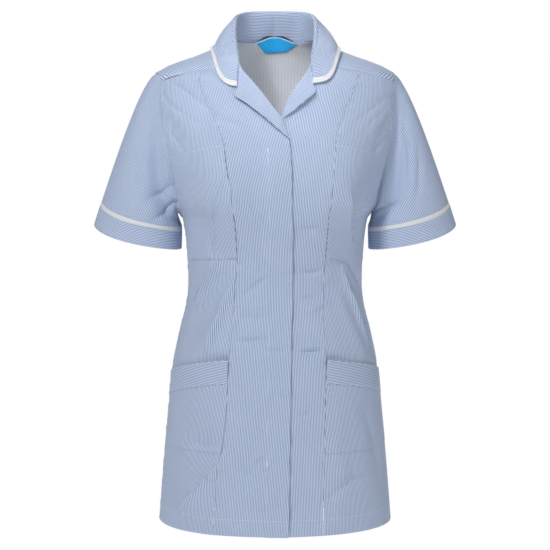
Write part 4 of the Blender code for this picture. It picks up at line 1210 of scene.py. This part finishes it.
# %% Collar stations
CollarLine = namedtuple("CollarLine", "neck fold edge")
COLLAR = [
    CollarLine((0.0000, 0.0680), (0.0000, 0.0560, 0.0490), (0.0000, 0.0870, -0.0200)),
    CollarLine((0.0340, 0.0590), (0.0300, 0.0510, 0.0482), (0.0480, 0.0810, -0.0205)),
    CollarLine((0.0530, 0.0375), (0.0495, 0.0345, 0.0445), (0.0820, 0.0560, -0.0210)),
    CollarLine((0.0625, 0.0050), (0.0600, 0.0040, 0.0340), (0.0990, 0.0080, -0.0180)),
    CollarLine((0.0627, -0.0240), (0.0612, -0.0220, 0.0125), (0.0985, -0.0340, -0.0255)),
    CollarLine((0.0600, -0.0480), (0.0588, -0.0460, -0.0110), (0.0935, -0.0610, -0.0420)),
    CollarLine((0.0582, -0.0580), (0.0570, -0.0570, -0.0220), (0.0860, -0.0770, -0.0610)),
    CollarLine((0.0566, -0.0650), (0.0556, -0.0652, -0.0302), (0.0745, -0.0840, -0.0725)),
    CollarLine((0.0552, -0.0700), (0.0549, -0.0722, -0.0360), (0.0570, -0.0880, -0.0765)),
]
COLLAR_SKEW = (0.0020, 0.0026)
COLLAR_WALL = 0.0012
COLLAR_SEAM_GAP = 0.0011
COLLAR_FOLD_RADIUS = (0.0012, 0.0026)
COLLAR_FOLD_SHARE = 0.4
COLLAR_BOW = 0.004
COLLAR_BOW_UP = 0.6
COLLAR_CLEARANCE = 0.0038
COLLAR_REACH = 1.6
COLLAR_PASSES = 3
STAND_STEPS, FOLD_STEPS, FALL_STEPS, TRIM_STEPS = 6, 6, 18, 4
TRIM_WIDTH = 0.0085
LEAST_FALL = 1.5
collar_line = smooth(range(len(COLLAR)), [[*c.neck, *c.fold, *c.edge] for c in COLLAR])

# %% The collar's profile
def above_body(points, gap):
    """Moves points up and out where they would be closer to the form than a gap."""
    for _ in range(COLLAR_PASSES):
        height = np.minimum(points[..., 2], FORM_TOP)
        across, fore = from_above(points[..., 0], points[..., 1], height)
        surface, outward = skin(np.degrees(np.arctan2(across, fore)), height)
        distance = ((points - surface) * outward).sum(-1)
        close = (points[..., 2] <= FORM_TOP) & (np.hypot(across, fore) <= COLLAR_REACH)
        short = np.where(close, np.clip(gap - distance, 0, None), 0)
        points = points + outward * short[..., None]
    return points


def collar_profile(t):
    """Lines from the neck seam over the fold and down to the trim's edge, for each station."""
    side = np.where(t < 0, -1, 1)
    line = collar_line(np.abs(t) * (len(COLLAR) - 1))
    neck, outward = skin(*place_above(side * line[:, 0], line[:, 1]))
    neck = neck + outward * COLLAR_SEAM_GAP
    fold, edge = line[:, 2:5].copy(), line[:, 5:8].copy()
    fold[:, 0] *= side
    edge[:, 0] *= side
    skew = smooth_step(0.1, 0.6, np.abs(t))
    edge[:, 0] += COLLAR_SKEW[0] * skew * (1 - smooth_step(0.8, 1.0, np.abs(t)))
    edge[:, 2] += COLLAR_SKEW[1] * skew * side
    away = unit((edge - fold) * [1, 1, 0])
    stand_share = (fold[:, 2] - neck[:, 2]) * COLLAR_FOLD_SHARE
    radius = np.clip(stand_share, *COLLAR_FOLD_RADIUS)[:, None]
    up = np.array([0, 0, 1.0])
    top_of_stand = fold - up * radius
    lines = [blend(neck, top_of_stand, k / STAND_STEPS) for k in range(STAND_STEPS + 1)]
    centre = top_of_stand + away * radius
    for k in range(1, FOLD_STEPS):
        a = math.pi * k / FOLD_STEPS
        lines.append(centre - away * radius * math.cos(a) + up * radius * math.sin(a))
    start = centre + away * radius
    length = np.linalg.norm(edge - start, axis=1)[:, None]
    trim_start = 1 - TRIM_WIDTH / np.maximum(length, TRIM_WIDTH * LEAST_FALL)
    shares = [trim_start * k / FALL_STEPS for k in range(FALL_STEPS + 1)]
    shares += [blend(trim_start, 1.0, k / TRIM_STEPS) for k in range(1, TRIM_STEPS + 1)]
    for share in shares:
        point = blend(start, edge, share)
        point = point + (away + up * COLLAR_BOW_UP) * COLLAR_BOW * np.sin(np.pi * share)
        lines.append(above_body(point, COLLAR_CLEARANCE))
    return np.stack(lines)

# %% The collar and its tape
profile = collar_profile(np.linspace(-1, 1, 141))
facing = unit(np.cross(np.gradient(profile, axis=0), np.gradient(profile, axis=1)))
tape = made_band("cloth_collar_trim", profile[-TRIM_STEPS - 1:], facing[-TRIM_STEPS - 1:],
                 (True, False), wall=COLLAR_WALL, **TAPE)
made_band("cloth_collar", profile[:-TRIM_STEPS], facing[:-TRIM_STEPS], (False, True),
          materials=(STRIPED, STRIPED), held="folded", wall=COLLAR_WALL, with_pieces=[tape])

# %% [markdown]
# ## Lapels
#
# A lapel is the front's facing, turned back along the roll line. It lies on the front but is
# not pressed flat, so its free edge springs off a little. Its stripes run with the facing's
# own grain, which the turn lays over to one side.

# %% Lapels
LAPEL = {
    -1: {"top": [(-0.0548, -0.0405), (-0.0556, -0.0780), (-0.0598, -0.0952)],
         "roll": [(-0.0548, -0.0405), (-0.0491, -0.0521), (-0.0326, -0.0718), (-0.0149, -0.0941),
                  (-0.0015, -0.1121), (0.0091, -0.1260), (0.0159, -0.1428), (0.0208, -0.1575)],
         "edge": [(-0.0598, -0.0952), (-0.0425, -0.1065), (-0.0151, -0.1284),
                  (0.0011, -0.1422), (0.0200, -0.1585)]},
    1: {"top": [(0.0548, -0.0405), (0.0561, -0.0730), (0.0612, -0.0890)],
        "roll": [(0.0548, -0.0405), (0.0491, -0.0536), (0.0354, -0.0732), (0.0217, -0.0954),
                 (0.0140, -0.1125), (0.0118, -0.1225)],
        "edge": [(0.0612, -0.0890), (0.0480, -0.1000), (0.0338, -0.1120), (0.0200, -0.1225),
                 (0.0124, -0.1262)]},
}
LAPEL_SPRING = 0.0060
LAPEL_GAP = 0.0022
LAPEL_WALL = 0.0011
LAPEL_GRAIN = 31.0


def along_path(path):
    """Reads a path by the share of its length."""
    lengths = lengths_along(path)
    return smooth(lengths / lengths[-1], path)


for name, side in SIDES.items():
    lines = {part: along_path(path) for part, path in LAPEL[side].items()}
    v, u = np.meshgrid(np.linspace(0, 1, 49), np.linspace(0, 1, 25), indexing="ij")
    straight = blend(lines["top"](0.0), lines["top"](1.0), u[..., None])
    seen = blend(lines["roll"](v), lines["edge"](v), u[..., None])
    seen = seen + (lines["top"](u) - straight) * (1 - v)[..., None]
    x, z = seen[..., 0], seen[..., 1]
    lift = closure_lift(side, x, z) + LAPEL_GAP + LAPEL_SPRING * u * (1 - v**4)
    points, outward = skin(angle_across(x, z), z, lift)
    tilt = math.radians(LAPEL_GRAIN) * side
    flat = np.stack([x * math.sin(tilt) - z * math.cos(tilt),
                     x * math.cos(tilt) + z * math.sin(tilt)], -1)
    cloth(f"cloth_lapel_{name}", points, outward, flat, (STRIPED, STRIPED), held="folded",
          rests_on=f"cloth_front_{name}", wall=LAPEL_WALL)

# %% [markdown]
# ## The neck label
#
# A plain woven label hangs inside the back's neck seam. It stays bare.

# %% Neck label
Label = namedtuple("Label", "top bottom centre upper lower wall gap")
LABEL = Label(0.036, 0.0175, 0.005, 0.001, 0.0215, 0.0006, 0.0019)


def neck_label(rows=13, columns=25):
    whole, _ = back_panel(BACK_TOP + np.array([-1.0, 0.0]), BACK_MIDDLE + np.array([0.0, 1.0]))
    column_width = whole[1, 1, 0] - whole[1, 0, 0]
    row_height = whole[1, 0, 2] - whole[0, 0, 2]
    v, u = np.meshgrid(np.linspace(0, 1, rows), np.linspace(-1, 1, columns), indexing="ij")
    below = blend(LABEL.lower, LABEL.upper, v)
    across = LABEL.centre + u * blend(LABEL.bottom, LABEL.top, v)
    places = [back_panel(np.array([BACK_TOP - below[i, 0] / row_height]),
                         BACK_MIDDLE + across[i] / column_width) for i in range(rows)]
    points, outward = (np.concatenate(p) for p in zip(*places))
    points = points - outward * (CLOTH_WALL + LABEL.gap)
    return points, -outward, np.stack([across, -below], -1)


points, outward, flat = neck_label()
cloth("cloth_neck_label", points, outward, flat, (LABEL_BLUE,), "label", "laid", "cloth_back",
      LABEL.wall)

# %% [markdown]
# ## Stitching
#
# A seam shows as a row of short dashes of thread, each end pulled into the cloth. A picture of
# dashes would look flat from the side, so every stitch is a small spindle of its own. All the
# stitches of one piece are one mesh, laid along lines that keep their distance from an edge.

# %% Thread
Stitch = namedtuple("Stitch", "pitch length radius")
TOPSTITCH = Stitch(0.0032, 0.0024, 0.00030)
BARTACK = Stitch(0.00055, 0.0018, 0.00028)
STITCH_SINK = 0.00012


def sewing_thread(name):
    finish = Finish(name, roughness=0.6, sheen=0.1)
    place = finish.node("ShaderNodeTexCoord", {}, {}, output=3)
    ply = finish.node("ShaderNodeTexNoise", {}, {"Vector": place, "Scale": 2500.0})
    colour = finish.colours(ply, (0.66, 0.72, 0.82, 1), (0.84, 0.88, 0.94, 1))
    finish.paint(colour)
    return finish.material


THREAD = sewing_thread("sewing_thread")

# %% Lines of stitches
def line_near(grid, distance, axis=1, far=False):
    """Points and directions of a line at a distance from one edge of a grid."""
    points, outward = (np.moveaxis(a, axis, 1) for a in grid[:2])
    if far:
        points, outward = points[:, ::-1], outward[:, ::-1]
    gone, _ = distances_in(points, 1)
    read = [[np.interp(distance, gone[i], values[i, :, k]) for k in range(3)]
            for values in (points, outward) for i in range(len(points))]
    read = np.array(read).reshape(2, len(points), 3)
    return read[0], unit(read[1])


def sew(piece, lines, stitch=TOPSTITCH, crossways=False):
    """One mesh of stitches along lines of points, which goes with its piece."""
    rods = bmesh.new()
    count = 0
    for points, outward in lines:
        gone = lengths_along(points)
        count_here = int(gone[-1] / stitch.pitch)
        for middle in (np.arange(count_here) + 0.5) * gone[-1] / count_here:
            start, centre, end = (np.array([np.interp(middle + d, gone, points[:, k])
                                            for k in range(3)])
                                  for d in (-stitch.length / 2, 0, stitch.length / 2))
            up = unit(np.array([np.interp(middle, gone, outward[:, k]) for k in range(3)]))
            along = unit(end - start)
            across = unit(np.cross(up, along))
            if crossways:
                along, across = across, along
            centre = centre + up * (stitch.radius - STITCH_SINK)
            axes = [across * stitch.radius, up * stitch.radius, along * stitch.length / 2]
            place = Matrix([[*(a[k] for a in axes), centre[k]] for k in range(3)] + [[0, 0, 0, 1]])
            bmesh.ops.create_uvsphere(rods, u_segments=6, v_segments=3, radius=1, matrix=place)
        count += count_here
    bmesh.ops.recalc_face_normals(rods, faces=rods.faces)
    name = piece.name.replace("cloth", "bartacks" if crossways else "stitches")
    thread = made_object(name, rods, THREAD)
    thread.data.shade_smooth()
    thread.parent = piece
    print(f"{name}: {count} stitches")


# %% Rows of stitches on each piece
HEM_DEPTH = 0.025
SEAM_STITCH = 0.0014
EDGE_STITCH = 0.0022
PLACKET_WIDTH = 0.0345
PLACKET_SPAN = (-0.7350, -0.1700)
TACK_SPANS = [(-0.1930, -0.1720), (-0.6530, -0.6440)]
ARMHOLE_SPAN = (-0.262, 0.0)


def part_of(line, low, high):
    """The stretch of a line between two heights."""
    inside = (line[0][:, 2] >= low) & (line[0][:, 2] <= high)
    return line[0][inside], line[1][inside]


pieces = bpy.data.objects
for name, side in SIDES.items():
    front, panel, pocket_band = (panels[part, side] for part in ("front", "side", "band"))
    lines = [line_near(front, SEAM_STITCH, far=True), line_near(front, HEM_DEPTH, axis=0)]
    if side < 0:
        placket = line_near(front, PLACKET_WIDTH)
        lines.append(part_of(placket, *PLACKET_SPAN))
        sew(pieces["cloth_front_right"], [part_of(placket, *span) for span in TACK_SPANS],
            BARTACK, crossways=True)
    sew(pieces[f"cloth_front_{name}"], lines)
    at_armhole = part_of(line_near(panel, EDGE_STITCH, far=True), *ARMHOLE_SPAN)
    sew(pieces[f"cloth_side_front_{name}"], [line_near(panel, HEM_DEPTH, axis=0), at_armhole])
    sew(pieces[f"cloth_hip_pocket_band_{name}"],
        [line_near(pocket_band, EDGE_STITCH, axis=0, far=far) for far in (False, True)])
    sew(pieces[f"cloth_breast_pocket_{name}"],
        [line_near(panels["breast_pocket", side], EDGE_STITCH, axis=0, far=True)])
back_grid = (shaped_back, back_outward)
shoulder = line_near(back_grid, EDGE_STITCH, axis=0, far=True)
at_seams = [back_columns <= SEAM_COLUMNS, back_columns >= BACK_COLUMNS - SEAM_COLUMNS]
lines = [(shoulder[0][chosen], shoulder[1][chosen]) for chosen in at_seams]
sew(pieces["cloth_back"], lines + [line_near(back_grid, HEM_DEPTH, axis=0)])

# %% [markdown]
# ## Studio
#
# The photograph is lit softly from all round and from the front, on a white ground.

# %% Floor
FLOOR = -1.45
FLOOR_RADIUS = 3.1
FLOOR_GLOW = 0.25
stage = bmesh.new()
bmesh.ops.create_circle(stage, cap_ends=True, segments=96, radius=FLOOR_RADIUS)
bmesh.ops.translate(stage, verts=stage.verts, vec=(0, 0, FLOOR))
pale = Finish("pale_floor", roughness=0.9)
pale.surface.inputs["Base Color"].default_value = (0.92, 0.92, 0.92, 1)
pale.surface.inputs["Emission Color"].default_value = (1, 1, 1, 1)
pale.surface.inputs["Emission Strength"].default_value = FLOOR_GLOW
floor = made_object("studio_floor", stage, pale.material)
print(f"the hem hangs {SECTIONS[0].height - FLOOR:.2f} m above the floor")

# %% Light: a white ground to look at, and a dimmer one to be lit by
AMBIENT = 0.25
world = bpy.data.worlds.new("studio_white")
world.use_nodes = True
nodes, links = world.node_tree.nodes, world.node_tree.links
grounds = [nodes["Background"], nodes.new("ShaderNodeBackground")]
for ground, colour, strength in zip(grounds, ((1.0, 1.0, 1.0, 1), (0.96, 0.98, 1.0, 1)),
                                    (1.0, AMBIENT)):
    ground.inputs["Color"].default_value = colour
    ground.inputs["Strength"].default_value = strength
seen_or_lit = nodes.new("ShaderNodeMixShader")
rays = nodes.new("ShaderNodeLightPath")
links.new(rays.outputs["Is Camera Ray"], seen_or_lit.inputs[0])
links.new(grounds[1].outputs[0], seen_or_lit.inputs[1])
links.new(grounds[0].outputs[0], seen_or_lit.inputs[2])
links.new(seen_or_lit.outputs[0], nodes["World Output"].inputs["Surface"])
scene.world = world
scene.view_settings.view_transform = "Standard"


Lamp = namedtuple("Lamp", "place target side watts spread")
LAMPS = {
    "key_light": Lamp((-1.25, -2.1, 1.75), (0, 0, -0.25), 0.6, 60, 180),
    "fill_light": Lamp((2.0, -2.0, 0.2), (0, 0, -0.30), 1.2, 16, 180),
    "back_light": Lamp((0.3, 3.0, 0.9), (0, 0, -0.35), 1.8, 80, 180),
    "neck_light": Lamp((0.0, -1.5, 0.40), (0, 0.05, -0.07), 0.25, 0.09, 14),
}
for name, lamp in LAMPS.items():
    light = bpy.data.lights.new(name, "AREA")
    light.energy = lamp.watts
    light.size = lamp.side
    light.spread = math.radians(lamp.spread)
    box = bpy.data.objects.new(name, light)
    box.location = lamp.place
    aim = Vector(lamp.target) - Vector(lamp.place)
    box.rotation_euler = aim.to_track_quat("-Z", "Y").to_euler()
    scene.collection.objects.link(box)
print(", ".join(LAMPS))

# %% Camera at the photograph's angle
PHOTO_SIDE = 550
FOCAL = 1778
HORIZON = 85
lens = bpy.data.cameras.new("photo_camera")
lens.sensor_width = 36
lens.lens = 36 * FOCAL / PHOTO_SIDE
camera = bpy.data.objects.new("photo_camera", lens)
camera.location = (0.0, -2.80, -0.235)
camera.rotation_euler = (math.radians(90) - math.atan(HORIZON / FOCAL), 0, 0)
scene.collection.objects.link(camera)
scene.camera = camera
print(f"camera {-camera.location.y} m in front, lens {lens.lens:.1f} mm")

# %% Last update of the scene
bpy.context.view_layer.update()
